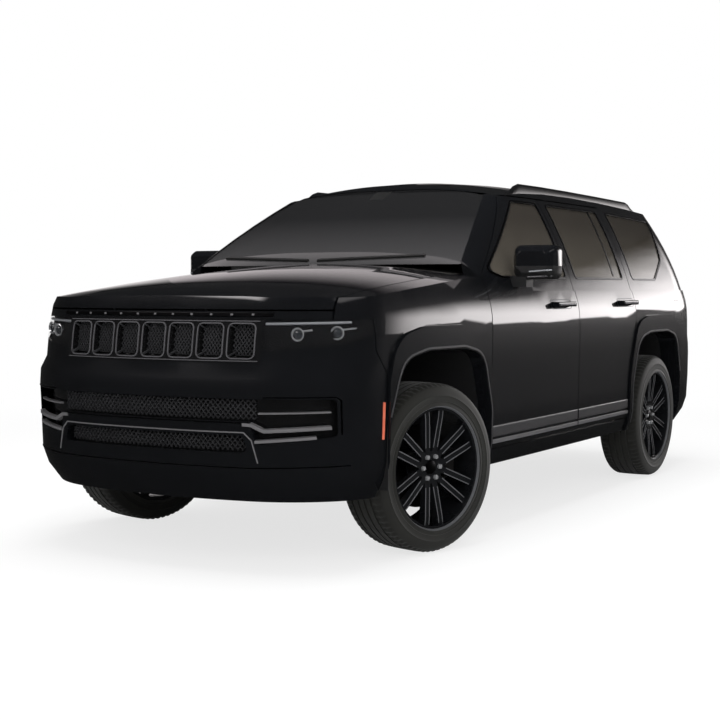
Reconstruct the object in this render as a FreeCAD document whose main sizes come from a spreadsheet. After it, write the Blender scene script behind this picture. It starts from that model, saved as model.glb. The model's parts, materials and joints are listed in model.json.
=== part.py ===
"""A full-size three-row SUV, stood on its wheels with the front wheels turned as in the photograph.

Millimetres. +X points to the front of the vehicle, +Y to its left and +Z up.
The origin is on the floor, under the middle of the vehicle.
"""
import FreeCAD, Part
import math
import os
from types import SimpleNamespace

import Sketcher
from FreeCAD import Placement, Rotation, Vector

os.makedirs("parts", exist_ok=True)
doc = FreeCAD.newDocument("suv")

# Driving dimensions. Every other size is worked out from these.
SIZES = [
    # whole vehicle
    ("overall_length", 5240),
    ("front_overhang", 1030),
    ("wheelbase", 3124),
    ("body_half_width", 1008),
    ("half_track", 871),
    ("belt_height", 1250),
    ("rail_height", 1800),
    ("roof_height", 1915),
    # body skin
    ("nose_depth", 200),
    ("tail_depth", 200),
    ("shoulder_half_width", 968),
    ("roof_half_width", 722),
    ("side_bow", 21),
    ("screen_base_x", 1398),
    ("screen_top_x", 490),
    ("screen_bow", 45),
    ("tail_lean", 190),
    ("roof_crown", 100),
    ("hood_crown", 62),
    ("hood_front_height", 1206),
    ("hood_rear_height", 1398),
    # panels
    ("panel_gap", 7.5),
    ("skin_layer", 46),
    ("wall_depth", 120),
    ("upper_layer", 38),
    ("upper_depth", 90),
    ("shell", 60),
    ("hood_thickness", 38),
    ("glass_inset", 6),
    ("glass_thickness", 5),
    ("flare_reach", 14),
    ("seat_clearance", 0.3),
    ("swing_clearance", 6),
    ("stop_size", 16),
    # side openings, set back from the front axle
    ("door_front_set", 520),
    ("door_middle_set", 1700),
    ("door_rear_set", 2690),
    ("door_bottom", 440),
    ("door_flange", 30),
    ("swing_bevel", 0.34),
    ("step_height", 640),
    ("rail_drop", 15),
    ("sight_height", 1290),
    ("pillar_step", 36),
    ("pillar_top_set", 130),
    ("frame_width", 62),
    ("window_sill", 1330),
    ("window_radius", 22),
    ("quarter_length", 740),
    ("quarter_lean", 120),
    ("quarter_bevel", 270),
    ("sill_bottom", 350),
    # arches
    ("arch_half_width", 490),
    ("arch_height", 972),
    ("flare_side", 56),
    ("flare_top", 115),
    ("liner_thickness", 6),
    ("liner_inner_y", 485),
    ("liner_window", 262),
    ("liner_window_top", 720),
    # front end
    ("hood_half_width", 828),
    ("hood_rear_set", 385),
    ("header_height", 1126),
    ("hood_line", 1162),
    ("lamp_set_forward", 572),
    ("grille_half_width", 556),
    ("grille_bottom", 935),
    ("grille_slots", 7),
    ("grille_bar", 34),
    ("lamp_inner_bottom", 985),
    ("lamp_knee_height", 1018),
    ("lamp_knee_y", 892),
    ("intake_half_width", 868),
    ("intake_top", 780),
    ("intake_bottom", 684),
    ("pocket_inner", 560),
    ("pocket_bottom", 580),
    ("mouth_half_width", 530),
    ("mouth_top", 620),
    ("mouth_bottom", 545),
    ("backing_inset", 42),
    ("backing_thickness", 8),
    # rear end
    ("rear_bumper_top", 870),
    ("gate_half_width", 800),
    ("gate_front_x", -2304),
    ("lamp_half_width", 925),
    ("rear_lamp_bottom", 930),
    ("rear_lamp_top", 1275),
    ("rear_window_bottom", 1300),
    ("rear_window_top", 1735),
    ("rear_window_half_width", 640),
    # mirrors, rails and handles
    ("mirror_set", 900),
    ("mirror_inner_y", 955),
    ("mirror_reach", 245),
    ("mirror_height", 180),
    ("mirror_bottom", 1312),
    ("mirror_depth", 130),
    ("mirror_radius", 34),
    ("mirror_arm", 42),
    ("roof_rail_y", 672),
    ("roof_rail_width", 34),
    ("roof_rail_rise", 66),
    ("roof_rail_front_x", 400),
    ("roof_rail_rear_x", -2080),
    ("handle_front_set", 1312),
    ("handle_rear_set", 2383),
    ("handle_length", 260),
    ("handle_height", 1173),
    ("handle_depth", 22),
    ("handle_thickness", 28),
    # wheels
    ("tyre_diameter", 812),
    ("tyre_width", 277),
    ("rim_diameter", 596),
    ("rim_width", 246),
    ("rim_wall", 20),
    ("wheel_face_inset", 20),
    ("hub_radius", 78),
    ("spoke_width", 34),
    ("spoke_depth", 40),
    ("spoke_pairs", 6),
    ("dish_depth", 26),
    ("disc_radius", 200),
    ("disc_thickness", 28),
    ("disc_inset", 21),
    ("bell_radius", 88),
    ("bell_depth", 27),
    ("spindle_radius", 22),
    ("spindle_reach", 42),
    # steering and suspension
    ("steer_rest", 15.5),
    ("kingpin_y", 760),
    ("lower_arm_height", 270),
    ("upper_arm_height", 600),
    ("arm_thickness", 30),
    ("arm_spread", 180),
    ("arm_tip", 30),
    ("bracket_depth", 30),
    ("bracket_width", 60),
    ("ball_radius", 28),
    ("pin_radius", 10),
    ("upright_half_width", 26),
    ("carrier_radius", 40),
    ("carrier_reach", 88),
    ("caliper_inner", 150),
    ("caliper_outer", 225),
    ("caliper_height", 140),
    ("caliper_gap", 5),
    ("caliper_wall", 14),
    ("strut_radius", 40),
    ("strut_y", 600),
    ("strut_set", 76),
    ("shaft_radius", 20),
    ("boot_radius", 40),
    ("boot_set", 90),
    ("diff_radius", 120),
    ("diff_half_width", 130),
    # frame and floor
    ("rail_y", 380),
    ("rail_width", 80),
    ("rail_depth", 130),
    ("rail_wall", 8),
    ("rail_end_set", 160),
    ("cross_width", 90),
    ("cross_depth", 90),
    ("cross_rise", 30),
    ("floor_height", 600),
    ("floor_thickness", 30),
    ("load_floor_height", 760),
    ("firewall_set", 530),
    ("firewall_thickness", 20),
    # cabin and drive
    ("dash_depth", 270),
    ("dash_top", 1300),
    ("dash_drop", 600),
    ("dash_half_width", 845),
    ("wheel_rim_radius", 185),
    ("wheel_rim_tube", 15),
    ("wheel_set", 440),
    ("wheel_height", 1110),
    ("column_radius", 30),
    ("column_length", 270),
    ("column_tilt", 22),
    ("driver_y", 420),
    ("seat_width", 540),
    ("bench_width", 880),
    ("seat_front_set", 1600),
    ("seat_middle_set", 2490),
    ("seat_rear_set", 3270),
    ("cushion_length", 500),
    ("cushion_thickness", 130),
    ("cushion_radius", 40),
    ("back_height", 600),
    ("back_thickness", 120),
    ("back_lean", 18),
    ("headrest_height", 160),
    ("headrest_width", 270),
    ("headrest_rise", 24),
    ("plinth_height", 210),
    ("bench_height", 110),
    ("engine_set_forward", 360),
    ("engine_length", 700),
    ("engine_width", 560),
    ("engine_height", 500),
    ("tank_set", 3240),
    ("tank_length", 900),
    ("tank_width", 330),
    ("tank_height", 200),
    ("tank_radius", 40),
    ("pipe_radius", 32),
    ("pipe_y", 230),
    ("pipe_height", 463),
    ("pipe_port_height", 720),
    ("muffler_set", 2090),
    ("muffler_radius", 90),
    ("muffler_length", 560),
    ("hanger_width", 24),
    # hitch and tow eye
    ("hitch_inner", 51),
    ("hitch_wall", 6.5),
    ("hitch_height", 448),
    ("hitch_end_set", 24),
    ("hitch_depth", 260),
    ("hitch_beam_set", 220),
    ("hitch_pin_radius", 8),
    ("hitch_pin_set", 60),
    ("hitch_notch", 150),
    ("tow_eye_radius", 14),
    ("tow_eye_size", 60),
    ("tow_eye_thickness", 20),
]
sheet = doc.addObject("Spreadsheet::Sheet", "sizes")
for row, (alias, value) in enumerate(SIZES, 1):
    sheet.set(f"A{row}", alias.replace("_", " "))
    sheet.set(f"B{row}", str(value))
    sheet.setAlias(f"B{row}", alias)
doc.recompute()
S = SimpleNamespace(**{alias: float(getattr(sheet, alias)) for alias, _ in SIZES})

PARTS = []
FRONT_AXLE = S.overall_length / 2 - S.front_overhang
REAR_AXLE = FRONT_AXLE - S.wheelbase
WHEEL_Z = S.tyre_diameter / 2
UP = Vector(0, 0, 1)
REACH = S.overall_length
# How much of the shorter run beside a corner its arc may take.
ARC_SHARE = 0.46


def node(item):
    """Counts a finished object as a sub-part of the vehicle."""
    PARTS.append(item)
    return item


def keep(label, shape):
    """Adds a finished sub-part to the document under its own label."""
    feature = doc.addObject("Part::Feature", label)
    feature.Label = label
    feature.Shape = shape
    return node(feature)


def mirrored(shape):
    """The same shape on the other side of the vehicle."""
    return shape.mirror(Vector(0, 0, 0), Vector(0, 1, 0))


def both_sides(shape):
    return Part.makeCompound(shape.Solids + mirrored(shape).Solids)


def rounded_edges(points, radii, closed=True):
    """Straight runs through points whose corners are rounded by radii, or left sharp where a radius is zero."""
    count = len(points)
    starts, ends, arcs = [], [], []
    for i, point in enumerate(points):
        if radii[i] <= 0:
            starts.append(point)
            ends.append(point)
            arcs.append(None)
            continue
        before, after = points[i - 1] - point, points[(i + 1) % count] - point
        shorter = min(before.Length, after.Length)
        before.normalize()
        after.normalize()
        half_turn = (math.pi - before.getAngle(after)) / 2
        reach = min(radii[i] * math.tan(half_turn), ARC_SHARE * shorter)
        radius = reach / math.tan(half_turn)
        inward = (before + after).normalize()
        middle = point + inward * (radius / math.cos(half_turn) - radius)
        starts.append(point + before * reach)
        ends.append(point + after * reach)
        arcs.append(Part.Arc(starts[-1], middle, ends[-1]).toShape())
    edges = []
    for i in range(count):
        if arcs[i]:
            edges.append(arcs[i])
        if closed or i < count - 1:
            edges.append(Part.LineSegment(ends[i], starts[(i + 1) % count]).toShape())
    return edges


def prism(points, direction, radii=None):
    """An outline, its corners rounded where radii are given, pushed along a direction."""
    return Part.Face(Part.Wire(rounded_edges(points, radii or [0] * len(points)))).extrude(direction)


def side_prism(points, y_from, y_to, radii=None):
    """An outline of (x, z) points pushed across the vehicle."""
    return prism([Vector(x, y_from, z) for x, z in points], Vector(0, y_to - y_from, 0), radii)


def end_prism(points, x_from, x_to, radii=None):
    """An outline of (y, z) points pushed along the vehicle."""
    return prism([Vector(x_from, y, z) for y, z in points], Vector(x_to - x_from, 0, 0), radii)


def block(x_low, x_high, y_low, y_high, z_low, z_high):
    return Part.makeBox(x_high - x_low, y_high - y_low, z_high - z_low, Vector(x_low, y_low, z_low))


def slab(z_low, z_high, x_low=None, x_high=None):
    """Everything between two heights, or between two places along the vehicle too."""
    return block(-REACH if x_low is None else x_low, REACH if x_high is None else x_high,
                 -REACH, REACH, z_low, z_high)


def rod(radius, start, end):
    return Part.makeCylinder(radius, (end - start).Length, start, end - start)


# Corners of a level cut. Each pair is a setback from the tip, as a share of the nose or tail depth,
# and a place across, as a share of the half width there.
BODY_CORNER_SHARES = {
    "front": [(0.0, 0.26), (0.36, 0.66), (1.45, 0.932), (4.4, 0.992)],
    "bow": 0.006,
    "rear": [(2.2, 0.995), (0.75, 0.94), (0.2, 0.70), (0.0, 0.2)],
}
CABIN_CORNER_SHARES = {
    "front": [(0.05, 0.34), (0.26, 0.76), (0.6, 0.965), (2.0, 0.998)],
    "bow": 0.004,
    "rear": [(1.9, 0.985), (0.75, 0.93), (0.2, 0.69), (0.03, 0.2)],
}
# Levels of the body: height as a share of the belt height, half width as a share of the body's,
# and the setbacks of nose and tail as shares of their depths.
BODY_LEVEL_SHARES = [
    (0.254, 0.940, 0.450, 0.750),
    (0.320, 0.975, 0.180, 0.300),
    (0.384, 0.990, 0.050, 0.075),
    (0.512, 0.994, 0.030, 0.000),
    (0.640, 0.996, 0.000, 0.000),
    (0.696, 0.998, 0.040, 0.070),
    (0.744, 1.000, 0.270, 0.200),
    (0.832, 1.000, 0.340, 0.220),
    (0.896, 0.997, 0.410, 0.240),
    (0.944, 0.987, 0.450, 0.260),
    (1.000, 0.966, 0.590, 0.290),
    (1.120, 0.893, 1.000, 0.420),
]
CABIN_LEVEL_SHARES = [-0.1, 0.0, 0.13, 0.27, 0.41, 0.55, 0.7, 0.85, 1.0, 1.14, 1.28]


def plan_wire(z, half_width, nose, tail, corner_shares):
    """A level cut through the body: straight runs joined by the largest tangent arcs that fit."""
    half = [(nose - back * S.nose_depth, out * half_width) for back, out in corner_shares["front"]]
    half.append(((nose + tail) / 2, half_width + corner_shares["bow"] * half_width))
    half += [(tail + ahead * S.tail_depth, out * half_width) for ahead, out in corner_shares["rear"]]
    points = [Vector(x, y, z) for x, y in half] + [Vector(x, -y, z) for x, y in reversed(half)]
    return Part.Wire(rounded_edges(points, [REACH * REACH] * len(points)))


def body_loft(inset):
    """The lower body from sill to shoulder, drawn in by an inset on all sides."""
    wires = []
    for z, out, front, rear in BODY_LEVEL_SHARES:
        nose = S.overall_length / 2 - front * S.nose_depth - inset
        tail = -S.overall_length / 2 + rear * S.tail_depth + inset
        half_width = out * S.body_half_width - inset
        wires.append(plan_wire(z * S.belt_height, half_width, nose, tail, BODY_CORNER_SHARES))
    return Part.makeLoft(wires, True, True)


def cabin_rise(z):
    """Height in the glasshouse, from 0 at the shoulder to 1 at the roof rail."""
    return (z - S.belt_height) / (S.rail_height - S.belt_height)


def cabin_height(rise):
    return S.belt_height + rise * (S.rail_height - S.belt_height)


def cabin_half_width(z):
    """Half width of the glasshouse at a height, bowed between shoulder and roof rail."""
    rise = cabin_rise(z)
    straight = S.shoulder_half_width + rise * (S.roof_half_width - S.shoulder_half_width)
    return straight + S.side_bow * 4 * rise * (1 - rise)


def screen_x(z):
    """Foremost point of the windscreen at a height."""
    rise = cabin_rise(z)
    return S.screen_base_x + rise * (S.screen_top_x - S.screen_base_x) + S.screen_bow * 4 * rise * (1 - rise)


def cabin_tail_x(z):
    """Rearmost point of the glasshouse at a height."""
    rise = cabin_rise(z)
    base = -S.overall_length / 2 + BODY_LEVEL_SHARES[-2][3] * S.tail_depth
    return base + S.tail_lean * rise * (0.35 + 0.65 * rise)


def cabin_loft(inset):
    """The glasshouse from shoulder to above the roof rail, drawn in by an inset."""
    wires = []
    for rise in CABIN_LEVEL_SHARES:
        z = cabin_height(rise)
        nose, tail = screen_x(z) - inset, cabin_tail_x(z) + inset
        wires.append(plan_wire(z, cabin_half_width(z) - inset, nose, tail, CABIN_CORNER_SHARES))
    return Part.makeLoft(wires, True, True)


def crowned_loft(stations, crown, bottom):
    """A solid under a surface that is crowned across and follows (x, height) stations along."""
    wires = []
    for x, top in stations:
        left, right = Vector(x, REACH / 4, top - crown), Vector(x, -REACH / 4, top - crown)
        low_left, low_right = Vector(x, REACH / 4, bottom), Vector(x, -REACH / 4, bottom)
        wires.append(Part.Wire([
            Part.Arc(right, Vector(x, 0, top), left).toShape(),
            Part.LineSegment(left, low_left).toShape(),
            Part.LineSegment(low_left, low_right).toShape(),
            Part.LineSegment(low_right, right).toShape(),
        ]))
    return Part.makeLoft(wires, True, True)


# Roof line: place along as a share of the half length, and fall from the roof height as a share of the crown.
ROOF_LINE_SHARES = [
    (0.60, 2.00), (0.30, 1.05), (0.21, 0.72), (0.13, 0.45), (0.03, 0.18), (-0.10, 0.03), (-0.25, 0.0),
    (-0.45, 0.06), (-0.65, 0.20), (-0.85, 0.42), (-1.02, 0.72),
]
# Hood line: place along as a share of the half length, and rise from front to rear height as a share.
HOOD_LINE_SHARES = [
    (1.02, -0.45), (0.985, -0.12), (0.965, 0.09), (0.945, 0.20), (0.90, 0.34), (0.82, 0.49),
    (0.70, 0.68), (0.58, 0.84), (0.46, 0.97), (0.15, 1.02),
]


def roof_solid(drop):
    half = S.overall_length / 2
    stations = [(x * half, S.roof_height - fall * S.roof_crown - drop) for x, fall in ROOF_LINE_SHARES]
    return crowned_loft(stations, S.roof_crown * 3, S.belt_height)


def hood_solid(drop):
    half, rise = S.overall_length / 2, S.hood_rear_height - S.hood_front_height
    stations = [(x * half, S.hood_front_height + up * rise - drop) for x, up in HOOD_LINE_SHARES]
    return crowned_loft(stations, S.hood_crown * 2.4, 0)


def nose_solid(inset):
    """The body ahead of the windscreen, under the hood's surface."""
    return body_loft(inset).common(hood_solid(inset)).common(slab(0, REACH, S.screen_top_x, REACH))


def body_master(inset):
    """Lower body and glasshouse as one solid, drawn in by an inset."""
    cabin = cabin_loft(inset).common(roof_solid(inset))
    shoulder = body_loft(inset).common(slab(0, S.belt_height, -REACH, S.screen_top_x))
    return nose_solid(inset).fuse(shoulder).fuse(cabin)


# Heights in the glasshouse where the inside of its walls bends, as shares of the rise to the roof rail.
WALL_LEVEL_SHARES = (0.25, 0.5, 0.75, 1.0, 1.2)


def inner_space(lower_y, upper_drop):
    """The space inside a side wall: upright below the shoulder, leaning in above it."""
    heights = [cabin_height(rise) for rise in WALL_LEVEL_SHARES]
    points = [(-REACH, 0), (lower_y, 0), (lower_y, S.belt_height - 2 * S.skin_layer)]
    points += [(min(lower_y, cabin_half_width(z) - upper_drop), z) for z in heights]
    return end_prism(points + [(-REACH, heights[-1])], -REACH, REACH)


def at(set_back):
    """Place along the vehicle of something set back from the front axle."""
    return FRONT_AXLE - set_back


DOOR_FRONT_X = at(S.door_front_set)
DOOR_MIDDLE_X = at(S.door_middle_set)
DOOR_REAR_X = at(S.door_rear_set)
DOOR_TOP = S.rail_height - S.rail_drop
BODY_TOP = S.rail_height - S.panel_gap / 2
SKIN_Y = S.body_half_width - S.skin_layer
WALL_Y = S.body_half_width - S.wall_depth
REAR_SILL_X = REAR_AXLE + S.arch_half_width + S.flare_side
LINER_REACH = S.arch_half_width + S.liner_thickness
BUMPER_X = FRONT_AXLE + LINER_REACH
REAR_BUMPER_X = REAR_AXLE - LINER_REACH
FIREWALL_X = at(S.firewall_set)
FLOOR_TOP = S.floor_height + S.floor_thickness
LOAD_TOP = S.load_floor_height + S.floor_thickness


def front_door_outline(grow):
    """Outline in (x, z) of the front door, grown all round."""
    low, top = S.door_bottom - grow, DOOR_TOP + grow
    front, rear = DOOR_FRONT_X + grow, DOOR_MIDDLE_X + S.panel_gap / 2 - grow
    return [
        (front, low), (front, S.sight_height), (front - S.pillar_step / 2, S.sight_height + S.pillar_step),
        (S.screen_top_x - S.pillar_top_set + grow, top), (rear, top), (rear, low),
    ]


def rear_door_outline(grow):
    """Outline in (x, z) of the rear door, cut away behind for the wheel arch, grown all round."""
    low, top = S.door_bottom - grow, DOOR_TOP + grow
    front, rear = DOOR_MIDDLE_X - S.panel_gap / 2 + grow, DOOR_REAR_X - grow
    sill = REAR_SILL_X + S.panel_gap - grow
    return [
        (front, low), (front, top), (rear, top), (rear, S.arch_height + S.flare_top * 0.8 - grow),
        (sill, WHEEL_Z + S.arch_half_width * 0.8 - grow), (sill, low),
    ]


def window_outlines():
    """Outlines in (x, z) of the side windows."""
    sill, head = S.window_sill, DOOR_TOP - S.frame_width * 0.55
    front_top = S.screen_top_x - S.pillar_top_set - S.frame_width * 1.4
    quarter_front = DOOR_REAR_X - S.frame_width * 1.8
    quarter_rear = quarter_front - S.quarter_length
    return {
        "front": [
            (DOOR_FRONT_X - S.frame_width * 1.9, sill + S.frame_width / 2), (front_top, head),
            (DOOR_MIDDLE_X + S.frame_width, head), (DOOR_MIDDLE_X + S.frame_width, sill),
            (DOOR_FRONT_X - S.frame_width * 4, sill),
        ],
        "rear": [
            (DOOR_MIDDLE_X - S.frame_width * 1.5, sill), (DOOR_MIDDLE_X - S.frame_width * 1.5, head),
            (DOOR_REAR_X + S.frame_width * 1.4, head), (DOOR_REAR_X + S.frame_width * 1.4, sill),
        ],
        "quarter": [
            (quarter_front, sill), (quarter_front, head),
            (quarter_rear - S.quarter_lean, head - S.frame_width / 3),
            (quarter_rear, sill + S.quarter_bevel / 2), (quarter_rear + S.quarter_bevel, sill),
        ],
    }


def window_prism(name):
    points = window_outlines()[name]
    return side_prism(points, S.seat_clearance, REACH, [S.window_radius] * len(points))


# The squared wheel arch: place from the axle as a share of its half width,
# height from wheel centre to arch top as a share, and corner radius as a share of the half width.
ARCH_SHARES = [(1.0, 0.42, 0.42), (0.79, 0.93, 0.36), (0.36, 1.0, 0.6)]


def arch_prism(axle, half_width, top, y_from, y_to, bottom=0):
    """The wheel arch's outline round an axle, pushed across the vehicle."""
    rise = top - WHEEL_Z
    half = [(out * half_width, WHEEL_Z + up * rise) for out, up, _ in ARCH_SHARES]
    points = [(axle - x, z) for x, z in half] + [(axle + x, z) for x, z in reversed(half)]
    points = [(axle - half_width, bottom)] + points + [(axle + half_width, bottom)]
    radii = [share * half_width for _, _, share in ARCH_SHARES]
    return side_prism(points, y_from, y_to, [0] + radii + radii[::-1] + [0])


def arch_cut(axle, grow=0):
    """What a wheel arch takes out of the panels round it."""
    return arch_prism(axle, S.arch_half_width + grow, S.arch_height + grow, S.liner_inner_y, REACH)


LEFT = block(-REACH, REACH, 0, REACH, 0, REACH)
master = body_master(0)
hollow = body_master(S.shell)
shell = master.cut(hollow)
left_master = master.common(LEFT)
skin_side = left_master.cut(inner_space(SKIN_Y, S.upper_layer))
wall_side = left_master.cut(inner_space(WALL_Y, S.upper_depth))
recess_side = left_master.cut(inner_space(SKIN_Y - S.swing_clearance, S.upper_layer + S.swing_clearance))
interior = inner_space(WALL_Y, S.upper_depth).common(mirrored(inner_space(WALL_Y, S.upper_depth)))
flare_skin = body_loft(-S.flare_reach).common(LEFT).cut(inner_space(SKIN_Y, S.upper_layer))
glass_skin = cabin_loft(S.glass_inset).common(roof_solid(S.glass_inset)).cut(
    cabin_loft(S.glass_inset + S.glass_thickness))
rear_zone = slab(0, REACH, -REACH, REAR_BUMPER_X)


def door_cut(outline):
    """What a door and its swing take out of the side wall."""
    outer = side_prism(outline(S.panel_gap), S.seat_clearance, REACH)
    inner = side_prism(outline(S.panel_gap - S.door_flange), S.seat_clearance, REACH)
    return recess_side.common(outer).fuse(wall_side.common(inner.common(slab(S.step_height, REACH))))


def handle(front_x):
    """A pull handle stood off the door skin on two posts."""
    y = S.body_half_width + S.handle_depth / 2
    low, high = S.handle_height - S.handle_thickness / 2, S.handle_height + S.handle_thickness / 2
    bar = block(front_x - S.handle_length, front_x, y, y + S.handle_depth, low, high)
    bar = bar.makeFillet(S.handle_thickness / 4, [e for e in bar.Edges if e.Length > S.handle_thickness * 2])
    for x in (front_x - S.handle_thickness, front_x - S.handle_length):
        bar = bar.fuse(block(x, x + S.handle_thickness, SKIN_Y, y + S.handle_depth / 2, low, high))
    return bar


def swing_wedge(rear_x):
    """What is bevelled off the frame's rear edge, so that the door swings out past its neighbour."""
    depth = S.shoulder_half_width / 3
    low = S.belt_height - S.skin_layer
    points = [Vector(x, y, low) for x, y in (
        (rear_x, S.shoulder_half_width), (rear_x - S.frame_width, S.shoulder_half_width),
        (rear_x - S.frame_width, S.shoulder_half_width - depth),
        (rear_x + S.swing_bevel * depth, S.shoulder_half_width - depth))]
    lean = Vector(0, S.roof_half_width - S.shoulder_half_width, S.rail_height - S.belt_height)
    return prism(points, lean * 1.2)


def door(outline, window, handle_x):
    """One door: its skin over the whole outline, its body inside the flange, its window cut."""
    outer = skin_side.common(side_prism(outline(0), S.seat_clearance, REACH))
    inner = side_prism(outline(-S.door_flange), S.seat_clearance, REACH)
    inner = wall_side.common(inner.common(slab(S.step_height + S.panel_gap, REACH)))
    rear_x = min(x for x, z in outline(0))
    return outer.fuse(inner).cut(window_prism(window)).cut(swing_wedge(rear_x)).fuse(handle(handle_x))


def flare(axle, region):
    """The raised band round an arch."""
    half, top = S.arch_half_width + S.flare_side, S.arch_height + S.flare_top
    band = arch_prism(axle, half, top, SKIN_Y, REACH, S.sill_bottom)
    return flare_skin.common(band).common(region)


def fender_outline(grow):
    """Outline in (x, z) of the front fender, from the door to the bumper and lamp, grown all round."""
    lamp_x = FRONT_AXLE + S.lamp_set_forward + grow
    return [
        (DOOR_FRONT_X + S.panel_gap - grow, 0), (BUMPER_X + grow, 0),
        (BUMPER_X + grow, S.grille_bottom - S.shell), (lamp_x, S.lamp_inner_bottom),
        (lamp_x, S.header_height - grow), (REACH, S.header_height - grow), (REACH, REACH),
        (DOOR_FRONT_X + S.panel_gap - grow, REACH),
    ]


def body_side():
    """The left side's pillars, sill, roof rail and quarter panel in one."""
    side = wall_side.fuse(shell.common(LEFT).common(rear_zone))
    side = side.common(slab(S.sill_bottom, BODY_TOP, -REACH, FRONT_AXLE - LINER_REACH))
    bumper_zone = block(-REACH, REAR_BUMPER_X, 0, REACH, 0, S.rear_bumper_top)
    flared = flare(REAR_AXLE, slab(0, REACH, -REACH, REAR_SILL_X))
    side = side.cut(Part.makeCompound([door_cut(front_door_outline), door_cut(rear_door_outline)]))
    side = side.cut(Part.makeCompound([window_prism("quarter"), rear_lamp_prism()]))
    side = side.cut(gate_prism(S.panel_gap)).cut(left_fender).fuse(flared)
    side = side.cut(Part.makeCompound([arch_cut(REAR_AXLE), bumper_zone]))
    outer, inner = SKIN_Y - S.swing_clearance, SKIN_Y - S.seat_clearance
    stops = [
        block(DOOR_MIDDLE_X + S.panel_gap, DOOR_MIDDLE_X + S.panel_gap + S.stop_size, outer, inner,
              S.grille_bottom, S.grille_bottom + 3 * S.stop_size),
        block(DOOR_REAR_X + S.panel_gap, DOOR_REAR_X + S.stop_size, outer, inner,
              S.handle_height - 8 * S.stop_size, S.handle_height - 5 * S.stop_size),
    ]
    return side.multiFuse(stops)


def gate_prism(grow):
    """The liftgate's outline from behind, pushed forward to the roof's rear edge."""
    half, top = S.gate_half_width + grow, S.rail_height
    points = [
        (half, S.rear_bumper_top + S.panel_gap - grow), (half, S.rear_lamp_top),
        (half - S.gate_half_width * 0.04, S.rear_window_bottom + S.frame_width / 2),
        (half - S.gate_half_width * 0.2, top + S.panel_gap / 2 - grow),
        (REACH, top + S.panel_gap / 2 - grow), (REACH, REACH),
    ]
    outline = [(-y, z) for y, z in reversed(points)]
    low = end_prism(points + outline, -REACH, REAR_BUMPER_X)
    return low.cut(slab(top - S.frame_width, REACH, S.gate_front_x - S.panel_gap + grow, REACH))


def rear_lamp_prism():
    inner = S.gate_half_width + S.panel_gap
    points = [(inner, S.rear_lamp_bottom), (S.lamp_half_width, S.rear_lamp_bottom),
              (S.lamp_half_width, S.rear_lamp_top), (inner, S.rear_lamp_top)]
    return end_prism(points, -REACH, REAR_BUMPER_X)


def rear_window_prism():
    half, top = S.rear_window_half_width, S.rear_window_half_width * 0.86
    points = [(-half, S.rear_window_bottom), (half, S.rear_window_bottom),
              (top, S.rear_window_top), (-top, S.rear_window_top)]
    return end_prism(points, -REACH, REAR_BUMPER_X, [S.window_radius * 2] * 4)


def screen_prism():
    """The windscreen's outline from the front: the line of the pillars, and a crowned head."""
    half = [(cabin_half_width(cabin_height(rise)) - S.upper_depth, cabin_height(rise))
            for rise in WALL_LEVEL_SHARES[:4]]
    crown = (half[-1][0] / 2, S.rail_height + S.roof_crown * 0.35)
    points = half + [crown] + [(-crown[0], crown[1])] + [(-y, z) for y, z in reversed(half)]
    radii = [0] * 4 + [REACH] * 2 + [0] * 4
    return end_prism(points, 0, REACH, radii)


def roof():
    return shell.common(slab(BODY_TOP, REACH, S.gate_front_x, REACH)).cut(screen_prism())


def hood():
    half = S.hood_half_width - S.panel_gap
    zone = block(at(S.hood_rear_set), REACH, -half, half, S.hood_line + S.panel_gap, REACH)
    return nose_solid(0).common(zone).cut(nose_solid(S.hood_thickness))


def fender():
    """The left front fender with its flare and the top flange beside the hood."""
    outline = side_prism(fender_outline(0), S.hood_half_width, REACH)
    inside = nose_solid(S.shell).common(block(0, REACH, 0, SKIN_Y, 0, REACH))
    panel = nose_solid(0).common(outline).cut(inside)
    panel = panel.fuse(flare(FRONT_AXLE, side_prism(fender_outline(0), SKIN_Y, REACH)))
    return panel.common(slab(S.sill_bottom, REACH)).cut(arch_cut(FRONT_AXLE))


def header():
    """The strip between hood and lamps, with the hood's two rubber stops."""
    half = S.hood_half_width - S.panel_gap
    zone = block(BUMPER_X, REACH, -half, half, S.header_height, S.hood_line)
    x, y = S.overall_length / 2 - S.shell * 1.9, S.mouth_half_width / 2
    high = S.hood_line + S.panel_gap - S.seat_clearance
    stops = [rod(S.stop_size / 2, Vector(x, side * y, S.hood_line), Vector(x, side * y, high)) for side in (1, -1)]
    return shell.common(zone).multiFuse(stops)


def lamp_edge():
    """The left headlamp's lower edge in (y, z), from the grille out to the body's side."""
    return [(S.grille_half_width, S.lamp_inner_bottom), (S.lamp_knee_y, S.lamp_knee_height),
            (S.body_half_width, S.header_height)]


def intake_prism():
    """The upper intake, deeper at each end where it holds a lamp pocket."""
    half = [
        (S.pocket_inner - S.window_radius, S.intake_bottom), (S.pocket_inner, S.pocket_bottom),
        (S.intake_half_width, S.pocket_bottom + S.grille_bar), (S.intake_half_width, S.intake_top),
    ]
    points = half + [(-y, z) for y, z in reversed(half)]
    return end_prism(points, BUMPER_X, REACH, [S.window_radius] * len(points))


def mouth_prism():
    top, low = S.mouth_half_width * 0.95, S.mouth_half_width
    points = [(-low, S.mouth_bottom), (low, S.mouth_bottom), (top, S.mouth_top), (-top, S.mouth_top)]
    return end_prism(points, BUMPER_X, REACH, [S.window_radius] * 4)


def bumper():
    """The front bumper's shell with its two intakes cut through."""
    outer = S.body_half_width * 1.1
    points = [(outer, 0), (outer, S.header_height)] + lamp_edge()[::-1] + [(S.grille_half_width, S.grille_bottom)]
    outline = end_prism(points + [(-y, z) for y, z in reversed(points)], BUMPER_X, REACH)
    fenders = both_sides(side_prism(fender_outline(S.panel_gap), S.hood_half_width, REACH))
    piece = shell.common(outline).cut(fenders)
    return piece.cut(Part.makeCompound([intake_prism(), mouth_prism()]))


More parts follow.
